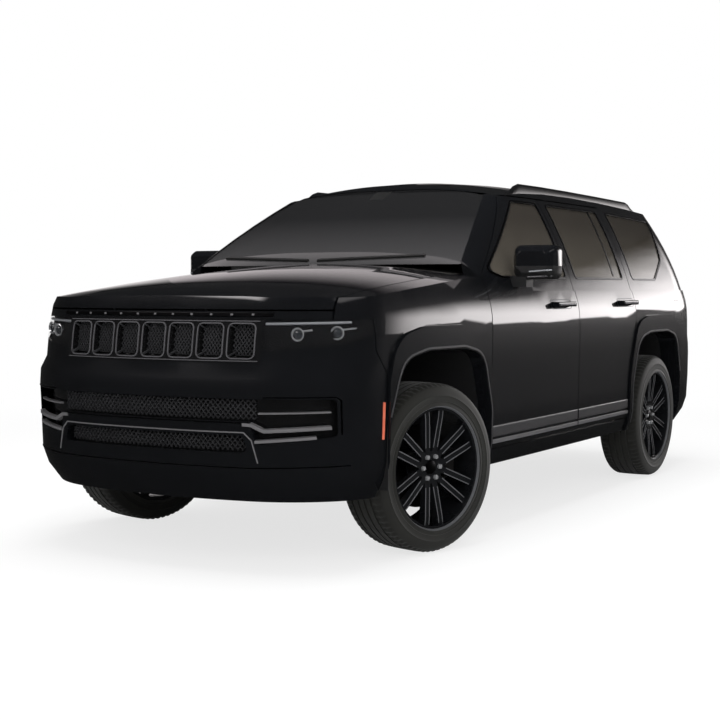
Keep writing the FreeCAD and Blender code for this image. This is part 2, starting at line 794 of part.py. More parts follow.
def grille_prism():
    half = S.grille_half_width
    points = [(-half, S.grille_bottom), (half, S.grille_bottom), (half, S.header_height), (-half, S.header_height)]
    return end_prism(points, BUMPER_X, REACH)


def grille():
    """The upright grille of slots and bars with its backing, and the panels that close both intakes."""
    count = int(S.grille_slots)
    pitch = (2 * S.grille_half_width - S.grille_bar) / count
    low, high = S.grille_bottom + S.grille_bar * 0.7, S.header_height - S.grille_bar * 0.7
    slots = []
    for i in range(count):
        left = -S.grille_half_width + S.grille_bar + i * pitch
        right = left + pitch - S.grille_bar
        points = [(left, low), (right, low), (right, high), (left, high)]
        slots.append(end_prism(points, BUMPER_X, REACH, [S.window_radius] * 4))
    frame = shell.common(grille_prism()).cut(Part.makeCompound(slots))
    backing = body_loft(S.backing_inset).cut(body_loft(S.backing_inset + S.backing_thickness))
    panels = [backing.common(outline) for outline in (grille_prism(), intake_prism(), mouth_prism())]
    return Part.makeCompound([frame.fuse(panels[0])] + panels[1:])


def headlamp():
    points = lamp_edge() + [(S.grille_half_width, S.header_height)]
    return shell.common(end_prism(points, FRONT_AXLE + S.lamp_set_forward, REACH))


def rear_bumper():
    """The rear bumper's shell, notched below so that the hitch and its pin can be reached."""
    top = S.hitch_height + S.hitch_inner / 2 + S.hitch_wall + 2 * S.panel_gap
    notch = block(-REACH, REAR_BUMPER_X, -S.hitch_notch, S.hitch_notch, 0, top)
    return shell.common(slab(0, S.rear_bumper_top)).common(rear_zone).cut(notch)


def liftgate():
    return shell.common(gate_prism(0)).cut(rear_window_prism())


def roof_rail():
    """A rail along the roof's left edge, its underside on the roof."""
    inner, outer = S.roof_rail_y, S.roof_rail_y + S.roof_rail_width
    front, rear, run = S.roof_rail_front_x, S.roof_rail_rear_x, S.roof_rail_rise * 3
    high = S.rail_height + S.roof_rail_rise
    points = [(front, S.belt_height), (front - run, high + S.roof_rail_rise * 0.4),
              (rear + run, high + S.roof_rail_rise * 0.2), (rear, S.belt_height)]
    return side_prism(points, inner, outer).cut(master)


# Sections of a mirror's head: place along as a share of its depth, and how far it is drawn in, as a share.
MIRROR_SHARES = [(-0.5, 0.12), (-0.42, 0.0), (0.05, 0.0), (0.32, 0.35), (0.5, 1.0)]


def mirror():
    """The left door mirror: its head, and the arm that carries it from the door's skin."""
    x, y, z = at(S.mirror_set), S.mirror_inner_y, S.mirror_bottom
    sections = []
    for ahead, draw in MIRROR_SHARES:
        low_y, high_y = y + draw * S.mirror_radius, y + S.mirror_reach - draw * S.mirror_radius
        low_z, high_z = z + draw * S.mirror_radius, z + S.mirror_height - draw * S.mirror_radius
        corners = [(low_y, low_z), (high_y, low_z), (high_y, high_z), (low_y, high_z)]
        points = [Vector(x + ahead * S.mirror_depth, across, up) for across, up in corners]
        sections.append(Part.Wire(rounded_edges(points, [S.mirror_radius] * 4)))
    head = Part.makeLoft(sections, True, True)
    arm = block(x - S.mirror_depth / 3, x + S.mirror_depth / 3, SKIN_Y - S.shell, y + S.mirror_arm * 2,
                z - S.mirror_arm, z + S.mirror_arm * 0.3)
    return head.fuse(arm).cut(left_master)


def liner(axle, outer_y):
    """A wheel house: a band round the arch and a wall inboard, open where the arms and shaft pass."""
    inner_y, thickness = S.liner_inner_y, S.liner_thickness
    half, top, low = S.arch_half_width, S.arch_height, S.sill_bottom
    around = arch_prism(axle, half + thickness, top + thickness, inner_y, outer_y, low)
    within = arch_prism(axle, half, top, inner_y + thickness, outer_y, low)
    way = block(axle - S.liner_window, axle + S.liner_window, 0, inner_y + thickness, 0, S.liner_window_top)
    return around.cut(Part.makeCompound([within, way]))


def floor():
    """Cabin floor, step up to the load floor, firewall, cowl and the plinths under the seats."""
    cabin_rear = REAR_AXLE + LINER_REACH
    main = block(cabin_rear, FIREWALL_X, -WALL_Y, WALL_Y, S.floor_height, FLOOR_TOP)
    riser = block(cabin_rear, cabin_rear + S.floor_thickness, -WALL_Y, WALL_Y, S.floor_height, LOAD_TOP)
    between = block(REAR_BUMPER_X, cabin_rear + S.floor_thickness, -S.liner_inner_y, S.liner_inner_y,
                    S.load_floor_height, LOAD_TOP)
    behind = hollow.common(slab(S.load_floor_height, LOAD_TOP, -REACH, REAR_BUMPER_X))
    firewall = interior.common(slab(S.floor_height, S.dash_top, FIREWALL_X - S.firewall_thickness, FIREWALL_X))
    cowl_zone = slab(S.dash_top, cabin_height(WALL_LEVEL_SHARES[0]), FIREWALL_X - S.wall_depth,
                     at(S.hood_rear_set) - S.panel_gap)
    half = S.hood_half_width - S.panel_gap
    cowl = nose_solid(0).common(cowl_zone).common(interior).common(block(0, REACH, -half, half, 0, REACH))
    plinths = []
    for set_back in (S.seat_front_set, S.seat_middle_set):
        for side in (1, -1):
            y = side * S.driver_y
            plinths.append(block(at(set_back) + S.cushion_length * 0.1, at(set_back) + S.cushion_length * 0.9,
                                 y - S.seat_width * 0.4, y + S.seat_width * 0.4, FLOOR_TOP,
                                 FLOOR_TOP + S.plinth_height))
    x, half = at(S.seat_rear_set), S.bench_width * 0.46
    plinths.append(block(x + S.cushion_length * 0.1, x + S.cushion_length * 0.9, -half, half, LOAD_TOP,
                         LOAD_TOP + S.bench_height))
    return main.multiFuse([riser, between, behind, firewall, cowl] + plinths)


def cushion_block(x_low, x_high, y_low, y_high, z_low, z_high, square=()):
    """A block whose long corners are rounded, seen from the side, apart from those left square."""
    points = [(x_low, z_low), (x_high, z_low), (x_high, z_high), (x_low, z_high)]
    return side_prism(points, y_low, y_high, [0 if i in square else S.cushion_radius for i in range(4)])


def cushion(set_back, y, width, bottom):
    x, low = at(set_back), bottom + S.seat_clearance
    return cushion_block(x, x + S.cushion_length, y - width / 2, y + width / 2, low, low + S.cushion_thickness)


def seat_back(set_back, y, width, bottom, heads):
    """A seat's back with its headrests on posts, leaning back."""
    thick, high = S.back_thickness, S.back_height
    pad = cushion_block(-thick, 0, -width / 2, width / 2, 0, high, square=[1])
    for place in heads:
        low, half = high + S.headrest_rise, S.headrest_width / 2
        head = cushion_block(-thick * 0.9, -thick * 0.1, place - half, place + half, low, low + S.headrest_height)
        posts = [rod(S.pin_radius, Vector(-thick / 2, place + side * half / 2, high - S.headrest_rise),
                     Vector(-thick / 2, place + side * half / 2, low + S.headrest_rise)) for side in (1, -1)]
        pad = pad.multiFuse([head] + posts)
    pad.Placement = Placement(Vector(at(set_back) - S.seat_clearance, y, bottom + S.cushion_thickness * 0.5),
                              Rotation(Vector(0, 1, 0), -S.back_lean))
    return pad


def seats():
    """Two pairs of single seats and a bench behind, as cushions and as backs."""
    rows = [(S.seat_front_set, side * S.driver_y, S.seat_width, FLOOR_TOP + S.plinth_height, [0])
            for side in (1, -1)]
    rows += [(S.seat_middle_set, side * S.driver_y, S.seat_width, FLOOR_TOP + S.plinth_height, [0])
             for side in (1, -1)]
    rows.append((S.seat_rear_set, 0, S.bench_width, LOAD_TOP + S.bench_height,
                 [-S.bench_width / 4, S.bench_width / 4]))
    return ([cushion(*row[:4]) for row in rows], [seat_back(*row) for row in rows])


def exhaust():
    """Pipe from the engine's rear face, straight back under the floor through a silencer."""
    y, low, high = -S.pipe_y, S.pipe_height, S.pipe_port_height
    engine_rear = FRONT_AXLE + S.engine_set_forward - S.engine_length
    turn_x = engine_rear - S.pipe_radius * 3.4
    tail = -S.overall_length / 2 + S.rail_end_set
    points = [Vector(engine_rear, y, high), Vector(turn_x, y, high), Vector(turn_x, y, low), Vector(tail, y, low)]
    path = Part.Wire(rounded_edges(points, [0, REACH, REACH, 0], closed=False))
    ring = Part.Wire(Part.makeCircle(S.pipe_radius, points[0], Vector(-1, 0, 0)))
    pipe = path.makePipeShell([ring], True, True)
    start = Vector(at(S.muffler_set), y, low)
    silencer = rod(S.muffler_radius, start, start + Vector(S.muffler_length, 0, 0))
    hanger = block(HANGER_X - S.hanger_width / 2, HANGER_X + S.hanger_width / 2, y - S.pipe_radius / 2,
                   y + S.pipe_radius / 2, low, S.floor_height - S.rail_depth + S.cross_rise)
    return pipe.multiFuse([silencer, hanger])


# Crossmembers, set back from the front axle as shares of the wheelbase.
CROSS_SHARES = [-0.195, 0.061, 0.381, 0.733]
HANGER_X = at(CROSS_SHARES[3] * S.wheelbase)


def tank():
    x, top = at(S.tank_set) + S.wheelbase * 0.175, S.floor_height - S.rail_depth + S.cross_rise
    inner, outer, low = S.cross_width / 4, S.cross_width / 4 + S.tank_width, top - S.tank_height
    points = [(inner, top), (inner, low), (outer, low), (outer, top)]
    return end_prism(points, x, x + S.tank_length, [0, S.tank_radius, S.tank_radius, 0])


# Formulas of places that several pieces share.
FRONT = "(sizes.overall_length / 2 - sizes.front_overhang)"
REAR = "(sizes.overall_length / 2 - sizes.front_overhang - sizes.wheelbase)"
AXLE_HEIGHT = "(sizes.tyre_diameter / 2)"
RAIL_LOW = "(sizes.floor_height - sizes.rail_depth)"
RAIL_OUT = "(sizes.rail_y + sizes.rail_width)"
RAIL_KICK = "(sizes.load_floor_height - sizes.floor_height)"
HALF_LENGTH = "(sizes.overall_length / 2)"
RISE_FRONT = f"({REAR} + sizes.arch_half_width)"
HITCH_BEAM_X = f"(-{HALF_LENGTH} + sizes.hitch_beam_set)"


def bound(kind, name, sizes, place=(), turn=None):
    """A primitive whose sizes and place are formulas on the sheet."""
    item = doc.addObject(kind, name)
    if turn:
        item.Placement = Placement(Vector(), turn)
    for key, formula in sizes.items():
        item.setExpression(key, formula)
    for key, formula in zip("xyz", place):
        item.setExpression("Placement.Base." + key, formula)
    return item


def box(name, low, size):
    """A box from its low corner and its size, both as formulas."""
    return bound("Part::Box", name, dict(zip(("Length", "Width", "Height"), size)), low)


def cylinder(name, radius, height, place, direction):
    """A cylinder from its start, along a direction."""
    return bound("Part::Cylinder", name, {"Radius": radius, "Height": height}, place, Rotation(UP, direction))


def mirror_of(item):
    """The same object on the other side of the vehicle."""
    other = doc.addObject("Part::Mirroring", item.Name + "_other")
    other.Source = item
    other.Normal = Vector(0, 1, 0)
    return other


def fused(name, items):
    joined = doc.addObject("Part::MultiFuse", name)
    joined.Shapes = items
    return joined


def cut(name, base, tool):
    difference = doc.addObject("Part::Cut", name)
    difference.Base = base
    difference.Tool = tool
    return difference


def grouped(name, items):
    compound = doc.addObject("Part::Compound", name)
    compound.Links = items
    return compound


def outline_sketch(body, name, role, outlines):
    """A sketch on one of the body's origin planes. Each corner's place is a pair of formulas."""
    sketch = body.newObject("Sketcher::SketchObject", name)
    sketch.AttachmentSupport = (next(f for f in body.Origin.OriginFeatures if f.Role == role), [""])
    sketch.MapMode = "FlatFace"
    for outline in outlines:
        first, count = sketch.GeometryCount, len(outline)
        starts = [Vector(math.cos(2 * math.pi * i / count), math.sin(2 * math.pi * i / count), 0)
                  for i in range(count)]
        for i in range(count):
            sketch.addGeometry(Part.LineSegment(starts[i], starts[(i + 1) % count]))
        for i, (across, up) in enumerate(outline):
            sketch.addConstraint(Sketcher.Constraint("Coincident", first + i, 2, first + (i + 1) % count, 1))
            for kind, place, formula in (("DistanceX", starts[i].x, across), ("DistanceY", starts[i].y, up)):
                index = sketch.addConstraint(Sketcher.Constraint(kind, -1, 1, first + i, 1, place))
                sketch.setExpression(f"Constraints[{index}]", formula)
    return sketch


def padded(name, role, outline, length, place):
    """A body of one pad from an outline of formulas."""
    body = doc.addObject("PartDesign::Body", name)
    pad = body.newObject("PartDesign::Pad", name + "_pad")
    pad.Profile = outline_sketch(body, name + "_outline", role, [outline])
    pad.setExpression("Length", length)
    for key, formula in zip("xyz", place):
        body.setExpression("Placement.Base." + key, formula)
    return body


def turned(body, name, kind, outline):
    """Turns an outline of (radius, place along the axle) formulas about the axle."""
    feature = body.newObject(kind, name)
    sketch = outline_sketch(body, name + "_outline", "XY_Plane", [outline])
    feature.Profile = sketch
    feature.ReferenceAxis = (sketch, ["V_Axis"])
    feature.Angle = 360
    return feature


# Half of the tyre's section: height above the rim as a share of the sidewall, and place across as a share.
TYRE_SHARES = [(0.0, 1.0), (0.88, 1.0), (1.0, 0.9)]


def make_tyre():
    body = doc.addObject("PartDesign::Body", "tyre_master")
    sidewall = "(sizes.tyre_diameter - sizes.rim_diameter) / 2"
    half = [(f"sizes.rim_diameter / 2 + {up} * {sidewall}", f"{out} * sizes.tyre_width / 2")
            for up, out in TYRE_SHARES]
    turned(body, "carcass", "PartDesign::Revolution", half + [(r, "-" + y) for r, y in reversed(half)])
    return body


def make_rim():
    """Rim, spokes, hub and brake disc, which turn as one. The outer side is +Y."""
    body = doc.addObject("PartDesign::Body", "rim_master")
    inside, edge = "(sizes.rim_diameter / 2 - sizes.rim_wall)", "sizes.rim_width / 2"
    turned(body, "barrel", "PartDesign::Revolution", [
        (inside, edge), ("sizes.rim_diameter / 2", edge), ("sizes.rim_diameter / 2", "-" + edge), (inside, "-" + edge)])
    face = "(sizes.rim_width / 2 - sizes.wheel_face_inset)"
    spokes = body.newObject("PartDesign::Pad", "spoke_pair")
    hub, out, half = "sizes.hub_radius * 0.8", "(sizes.rim_diameter / 2 - sizes.rim_wall / 2)", "sizes.spoke_width / 2"
    pair = [[(f"{side} * (sizes.spoke_width * {root} + {a} * {half})", r)
             for a, r, root in ((-1, hub, 0.66), (1, hub, 0.66), (1, out, 1.5), (-1, out, 1.5))]
            for side in (1, -1)]
    spokes.Profile = outline_sketch(body, "spoke_outline", "XZ_Plane", pair)
    spokes.Profile[0].setExpression("AttachmentOffset.Base.z", "-" + face)
    spokes.setExpression("Length", "sizes.spoke_depth")
    spin = body.newObject("PartDesign::PolarPattern", "spokes")
    spin.Originals = [spokes]
    spin.Axis = (spokes.Profile[0], ["N_Axis"])
    spin.Angle = 360
    spin.setExpression("Occurrences", "sizes.spoke_pairs")
    body.Tip = spin
    deep = "(sizes.disc_thickness - sizes.disc_inset)"
    turned(body, "hub", "PartDesign::Revolution", [
        ("sizes.spindle_radius + sizes.seat_clearance", "-sizes.disc_inset"),
        ("sizes.disc_radius", "-sizes.disc_inset"), ("sizes.disc_radius", deep), ("sizes.bell_radius", deep),
        ("sizes.bell_radius", f"{deep} + sizes.bell_depth"), ("sizes.hub_radius", f"{deep} + sizes.bell_depth"),
        ("sizes.hub_radius", face), ("0", face), ("0", "sizes.spindle_reach + sizes.seat_clearance * 10"),
        ("sizes.spindle_radius + sizes.seat_clearance", "sizes.spindle_reach + sizes.seat_clearance * 10")])
    turned(body, "dish", "PartDesign::Groove", [
        ("0", f"{face} - sizes.dish_depth"), (f"{inside} - sizes.spoke_width", face),
        (f"{inside} - sizes.spoke_width", "sizes.rim_width"), ("0", "sizes.rim_width")])
    return body


def upright(name, axle):
    """Knuckle on the left side, straight ahead: upright, hub carrier, spindle and brake caliper."""
    wide = "sizes.upright_half_width"
    low = "sizes.lower_arm_height + sizes.arm_thickness / 2 + sizes.seat_clearance"
    high = "sizes.upper_arm_height - sizes.arm_thickness / 2 - sizes.seat_clearance"
    post = box(name + "_post", (f"{axle} - {wide}", f"sizes.kingpin_y - {wide}", low),
               (f"2 * {wide}", f"2 * {wide}", f"{high} - ({low})"))
    centre = (axle, "sizes.kingpin_y", AXLE_HEIGHT)
    carrier = cylinder(name + "_carrier", "sizes.carrier_radius", "sizes.carrier_reach", centre, Vector(0, 1, 0))
    spindle = cylinder(name + "_spindle", "sizes.spindle_radius",
                       "sizes.half_track - sizes.kingpin_y + sizes.spindle_reach", centre, Vector(0, 1, 0))
    disc_face = "(sizes.half_track - sizes.disc_inset - sizes.caliper_gap)"
    pads = box(name + "_caliper", (f"{axle} - sizes.caliper_outer", f"{disc_face} - sizes.caliper_wall",
                                   f"{AXLE_HEIGHT} - sizes.caliper_height / 2"),
               ("sizes.caliper_outer - sizes.caliper_inner",
                "sizes.disc_thickness + 2 * sizes.caliper_gap + 2 * sizes.caliper_wall", "sizes.caliper_height"))
    slot = cylinder(name + "_slot", "sizes.disc_radius + sizes.caliper_gap",
                    "sizes.disc_thickness + 2 * sizes.caliper_gap", (axle, disc_face, AXLE_HEIGHT), Vector(0, 1, 0))
    bracket = box(name + "_bracket", (f"{axle} - sizes.caliper_outer", f"{disc_face} - 2 * sizes.caliper_wall",
                                      f"{AXLE_HEIGHT} - sizes.caliper_height / 4"),
                  ("sizes.caliper_outer", "sizes.caliper_wall", "sizes.caliper_height / 2"))
    return [post, carrier, spindle, cut(name + "_jaw", pads, slot), bracket]


def arm(name, axle, height, front, rear):
    """A wishbone on the left side, from its bracket to the ball joint."""
    root = f"({RAIL_OUT} + sizes.bracket_depth)"
    return padded(name, "XY_Plane", [
        (f"{axle} + {front}", root), (f"{axle} - {rear}", root),
        (f"{axle} - sizes.arm_tip", "sizes.kingpin_y"), (f"{axle} + sizes.arm_tip", "sizes.kingpin_y")],
        "sizes.arm_thickness", ("0", "0", f"{height} - sizes.arm_thickness / 2"))


def corner(name, axle, kick):
    """Wishbones, strut and brackets of one axle's left side."""
    lower, upper = "sizes.lower_arm_height", "sizes.upper_arm_height"
    items = [
        arm(name + "_lower", axle, lower, "sizes.arm_spread", "sizes.arm_spread"),
        arm(name + "_upper", axle, upper, "(-sizes.arm_spread / 3)", "sizes.arm_spread"),
    ]
    for label, height in (("lower", lower), ("upper", upper)):
        items.append(cylinder(f"{name}_{label}_ball", "sizes.ball_radius", "sizes.arm_thickness",
                              (axle, "sizes.kingpin_y", f"{height} - sizes.arm_thickness / 2"), UP))
    items.append(cylinder(name + "_strut", "sizes.strut_radius", f"sizes.arch_height - {lower}",
                          (f"{axle} + sizes.strut_set", "sizes.strut_y", lower), UP))
    for label, shift in (("front", "sizes.arm_spread - sizes.bracket_width"), ("rear", "-sizes.arm_spread")):
        items.append(box(f"{name}_{label}_bracket", (f"{axle} + {shift}", RAIL_OUT, f"{lower} - sizes.arm_thickness / 2"),
                         ("sizes.bracket_width", "sizes.bracket_depth",
                          f"{upper} + sizes.arm_thickness / 2 - ({lower} - sizes.arm_thickness / 2)")))
        if kick != "0":
            items.append(box(f"{name}_{label}_hanger", (f"{axle} + {shift}", "sizes.rail_y", f"{lower} - sizes.arm_thickness / 2"),
                             ("sizes.bracket_width", "sizes.rail_width",
                              f"{RAIL_LOW} + {kick} - ({lower} - sizes.arm_thickness / 2)")))
    return items


def drive(name, axle, kick):
    """Differential in its cradle, with a shaft and boot to each side."""
    case = cylinder(name + "_case", "sizes.diff_radius", "2 * sizes.diff_half_width",
                    (axle, "-sizes.diff_half_width", AXLE_HEIGHT), Vector(0, 1, 0))
    cradle = box(name + "_cradle", (f"{axle} - sizes.cross_width / 2", "-sizes.rail_y", f"{RAIL_LOW} + sizes.cross_rise"),
                 ("sizes.cross_width", "2 * sizes.rail_y", f"sizes.cross_depth + {kick}"))
    reach = "(sizes.kingpin_y - sizes.boot_set)"
    shaft = cylinder(name + "_shaft", "sizes.shaft_radius", f"2 * {reach}", (axle, "-" + reach, AXLE_HEIGHT),
                     Vector(0, 1, 0))
    boots = [bound("Part::Sphere", f"{name}_boot_{side}", {"Radius": "sizes.boot_radius"},
                   (axle, f"{sign} * {reach}", AXLE_HEIGHT)) for side, sign in (("left", 1), ("right", -1))]
    return [case, cradle, shaft] + boots


def make_front_suspension():
    bore = cylinder("ball_bore", "sizes.pin_radius + sizes.seat_clearance", "2 * sizes.tyre_diameter",
                    (FRONT, "sizes.kingpin_y", "0"), UP)
    bored = cut("front_corner_bored", fused("front_corner", corner("front", FRONT, "0")), bore)
    return grouped("front_suspension", [bored, mirror_of(bored), fused("front_drive", drive("front", FRONT, "0"))])


def make_rear_suspension():
    kick = RAIL_KICK
    left = fused("rear_corner", corner("rear", REAR, kick) + upright("rear_upright", REAR) + [
        cylinder("rear_pin", "sizes.pin_radius", "sizes.upper_arm_height - sizes.lower_arm_height",
                 (REAR, "sizes.kingpin_y", "sizes.lower_arm_height"), UP)])
    return grouped("rear_suspension", [left, mirror_of(left), fused("rear_drive", drive("rear", REAR, kick))])


def make_knuckle():
    """The front knuckle, left side and straight ahead, with the pin that it turns on."""
    pin_low = "sizes.lower_arm_height - sizes.arm_thickness"
    pin = cylinder("kingpin", "sizes.pin_radius", f"sizes.upper_arm_height + sizes.arm_thickness - ({pin_low})",
                   (FRONT, "sizes.kingpin_y", pin_low), UP)
    return fused("knuckle_master", upright("front_upright", FRONT) + [pin])


def front_rail_outline(inset):
    """Side outline of a rail's straight run, drawn in by a wall's thickness above and below."""
    front, low, high = f"{HALF_LENGTH} - sizes.rail_end_set", f"{RAIL_LOW} + {inset}", f"sizes.floor_height - {inset}"
    return [(front, low), (front, high), (RISE_FRONT, high), (RISE_FRONT, low)]


def rear_rail_outline(inset):
    """Side outline of a rail's rear end, which steps up over the axle, drawn in likewise."""
    rear, low, high = f"-{HALF_LENGTH} + sizes.rail_end_set", f"{RAIL_LOW} + {inset}", f"sizes.floor_height - {inset}"
    rise_rear = f"{RISE_FRONT} - sizes.rail_depth"
    return [(RISE_FRONT, low), (RISE_FRONT, high), (rise_rear, f"{high} + {RAIL_KICK}"),
            (rear, f"{high} + {RAIL_KICK}"), (rear, f"{low} + {RAIL_KICK}"),
            (f"{rise_rear} - sizes.rail_depth / 4", f"{low} + {RAIL_KICK}"),
            (f"{RISE_FRONT} - sizes.rail_depth / 4", low)]


def rails(name, outline):
    """A pair of box rails with one side outline, open at their ends."""
    outer = padded(f"{name}_outside", "XZ_Plane", outline("0"), "sizes.rail_width", ("0", RAIL_OUT, "0"))
    inner = padded(f"{name}_inside", "XZ_Plane", outline("sizes.rail_wall"),
                   "sizes.rail_width - 2 * sizes.rail_wall", ("0", f"{RAIL_OUT} - sizes.rail_wall", "0"))
    rail = cut(name, outer, inner)
    return [rail, mirror_of(rail)]


def make_frame():
    """The straight run of the ladder frame: two box rails and their crossmembers."""
    crossmembers = []
    for i, share in enumerate(CROSS_SHARES):
        crossmembers.append(box(f"crossmember_{i}", (
            f"{FRONT} - {share} * sizes.wheelbase - sizes.cross_width / 2", "-sizes.rail_y",
            f"{RAIL_LOW} + sizes.cross_rise"), ("sizes.cross_width", "2 * sizes.rail_y", "sizes.cross_depth")))
    return fused("chassis_frame", rails("rail", front_rail_outline) + crossmembers)


def make_rear_frame():
    """The frame's rear end, raised over the axle, with the crossmember that carries the hitch."""
    beam = box("hitch_beam", (f"{HITCH_BEAM_X} - sizes.cross_width / 2", "-sizes.rail_y",
                              f"{RAIL_LOW} + {RAIL_KICK}"),
               ("sizes.cross_width", "2 * sizes.rail_y", "sizes.cross_depth"))
    return fused("rear_frame", rails("rear_rail", rear_rail_outline) + [beam])


def make_hitch():
    """The tow hitch: four plates welded to a square receiver, with a pin bore, under a hanger block."""
    outer, mouth = "(sizes.hitch_inner + 2 * sizes.hitch_wall)", f"-{HALF_LENGTH} + sizes.hitch_end_set"
    top = f"(sizes.hitch_height + {outer} / 2)"
    low = f"sizes.hitch_height - {outer} / 2"
    pin = cylinder("hitch_pin_bore", "sizes.hitch_pin_radius", outer,
                   (f"{mouth} + sizes.hitch_pin_set", f"-{outer} / 2", "sizes.hitch_height"), Vector(0, 1, 0))
    plates = [box("hitch_hanger", (f"{HITCH_BEAM_X} - sizes.cross_width / 2", f"-{outer} / 2", top),
                  ("sizes.cross_width", outer, f"{RAIL_LOW} + {RAIL_KICK} - {top}"))]
    for name, z in (("top", f"{top} - sizes.hitch_wall"), ("floor", low)):
        plates.append(box(f"receiver_{name}", (mouth, f"-{outer} / 2", z),
                          ("sizes.hitch_depth", outer, "sizes.hitch_wall")))
    for name, y in (("left", "sizes.hitch_inner / 2"), ("right", "-sizes.hitch_inner / 2 - sizes.hitch_wall")):
        wall = box(f"receiver_{name}_plate", (mouth, y, f"{low} + sizes.hitch_wall"),
                   ("sizes.hitch_depth", "sizes.hitch_wall", "sizes.hitch_inner"))
        plates.append(cut(f"receiver_{name}", wall, pin))
    return grouped("tow_hitch", plates)


def make_tow_eye():
    """The front tow eye, a bored plate on the inner side of the left rail."""
    plate = box("tow_eye_plate", (f"{HALF_LENGTH} - sizes.rail_end_set - 2 * sizes.tow_eye_size",
                                  "sizes.rail_y - sizes.tow_eye_size", RAIL_LOW),
                ("sizes.tow_eye_size", "sizes.tow_eye_size", "sizes.tow_eye_thickness"))
    bore = cylinder("tow_eye_bore", "sizes.tow_eye_radius", "sizes.tow_eye_thickness",
                    (f"{HALF_LENGTH} - sizes.rail_end_set - 1.5 * sizes.tow_eye_size",
                     "sizes.rail_y - sizes.tow_eye_size / 2", RAIL_LOW), UP)
    return cut("tow_eye", plate, bore)


def make_dashboard():
    """Dashboard with the steering wheel and its column."""
    front = f"({FRONT} - sizes.firewall_set - sizes.firewall_thickness)"
    top = "sizes.dash_top"
    outline = [(f"{front} - {back} * sizes.dash_depth", f"{top} - {down} * sizes.dash_drop") for back, down in (
        (0, 1), (0, 0), (0.62, 0), (1, 0.12), (0.96, 0.37), (0.7, 0.53), (0.7, 1))]
    board = padded("dash_body", "XZ_Plane", outline, "2 * sizes.dash_half_width", ("0", "sizes.dash_half_width", "0"))
    centre = (f"{front} - sizes.wheel_set", "sizes.driver_y", "sizes.wheel_height")
    axis = Vector(math.cos(math.radians(S.column_tilt)), 0, -math.sin(math.radians(S.column_tilt)))
    rim = doc.addObject("PartDesign::Body", "steering_rim")
    turned(rim, "steering_ring", "PartDesign::Revolution", [
        (f"sizes.wheel_rim_radius + {out} * sizes.wheel_rim_tube", f"{up} * sizes.wheel_rim_tube")
        for out, up in ((1, -0.5), (1, 0.5), (0, 1), (-1, 0.5), (-1, -0.5), (0, -1))])
    rim.Placement = Placement(Vector(), Rotation(Vector(0, 1, 0), axis))
    for key, formula in zip("xyz", centre):
        rim.setExpression("Placement.Base." + key, formula)
    column = cylinder("column", "sizes.column_radius", "sizes.column_length", centre, axis)
    bar = cylinder("steering_bar", "sizes.wheel_rim_tube", "2 * sizes.wheel_rim_radius",
                   (centre[0], "sizes.driver_y - sizes.wheel_rim_radius", centre[2]), Vector(0, 1, 0))
    return fused("dashboard", [board, rim, column, bar])


def place_wheels(tyre, rim, knuckle):
    """Puts the four wheels and both front knuckles where they stand, the front ones turned."""
    steer = Rotation(UP, -S.steer_rest)
    for side, sign in (("left", 1), ("right", -1)):
        facing = Rotation(UP, 0 if sign > 0 else 180)
        kingpin = Vector(FRONT_AXLE, sign * S.kingpin_y, 0)
        swing = Placement(kingpin, steer).multiply(Placement(-kingpin, Rotation()))
        straight = Placement(Vector(FRONT_AXLE, sign * S.half_track, WHEEL_Z), facing)
        back = Placement(Vector(REAR_AXLE, sign * S.half_track, WHEEL_Z), facing)
        for axle, where in (("front", swing.multiply(straight)), ("rear", back)):
            for name, source in (("tyre", tyre), ("rim", rim)):
                feature = keep(f"{name}_{axle}_{side}", source.Shape)
                feature.Placement = where
        shape = knuckle.Shape if sign > 0 else mirrored(knuckle.Shape)
        feature = keep(f"knuckle_front_{side}", shape)
        feature.Placement = swing


# Pieces with plain sections, bound to the sheet.
node(make_frame())
node(make_rear_frame())
node(make_hitch())
node(make_tow_eye())
node(make_front_suspension())
node(make_rear_suspension())
node(make_dashboard())
node(box("engine_block", (f"{FRONT} + sizes.engine_set_forward - sizes.engine_length", "-sizes.engine_width / 2",
                          f"{RAIL_LOW} + sizes.cross_rise + sizes.cross_depth"),
         ("sizes.engine_length", "sizes.engine_width", "sizes.engine_height")))
tyre_master, rim_master, knuckle_master = make_tyre(), make_rim(), make_knuckle()
doc.recompute()
place_wheels(tyre_master, rim_master, knuckle_master)

# Pieces that follow the body's surface.
cushions, backs = seats()
keep("seat_cushions", Part.makeCompound(cushions))
keep("seat_backs", Part.makeCompound(backs))
keep("exhaust", exhaust())
keep("fuel_tank", tank())
keep("floor_pan", floor())
left_fender = fender()
keep("fenders", both_sides(left_fender))
keep("wheel_liners", Part.makeCompound(
    both_sides(liner(FRONT_AXLE, SKIN_Y).cut(left_fender)).Solids + both_sides(liner(REAR_AXLE, WALL_Y)).Solids))
keep("body_sides", both_sides(body_side()))
keep("roof_panel", roof())
keep("front_bumper", Part.makeCompound(bumper().Solids + header().Solids))
keep("grille", grille())
keep("headlamps", both_sides(headlamp()))
keep("rear_bumper", rear_bumper())
keep("tail_lamps", both_sides(shell.common(rear_lamp_prism())))
keep("windscreen", glass_skin.common(screen_prism()))
keep("quarter_glass", both_sides(glass_skin.common(window_prism("quarter"))))
keep("rear_glass", glass_skin.common(rear_window_prism()))
keep("roof_rails", both_sides(roof_rail()))
keep("hood", hood())
keep("liftgate", liftgate())
for name, outline, handle_set in (("front", front_door_outline, S.handle_front_set),
                                  ("rear", rear_door_outline, S.handle_rear_set)):
    panel, pane = door(outline, name, at(handle_set)), glass_skin.common(window_prism(name))
    keep(f"door_{name}_left", panel)
    keep(f"door_{name}_right", mirrored(panel))
    keep(f"glass_{name}_left", pane)
    keep(f"glass_{name}_right", mirrored(pane))
keep("mirror_left", mirror())
keep("mirror_right", mirrored(mirror()))

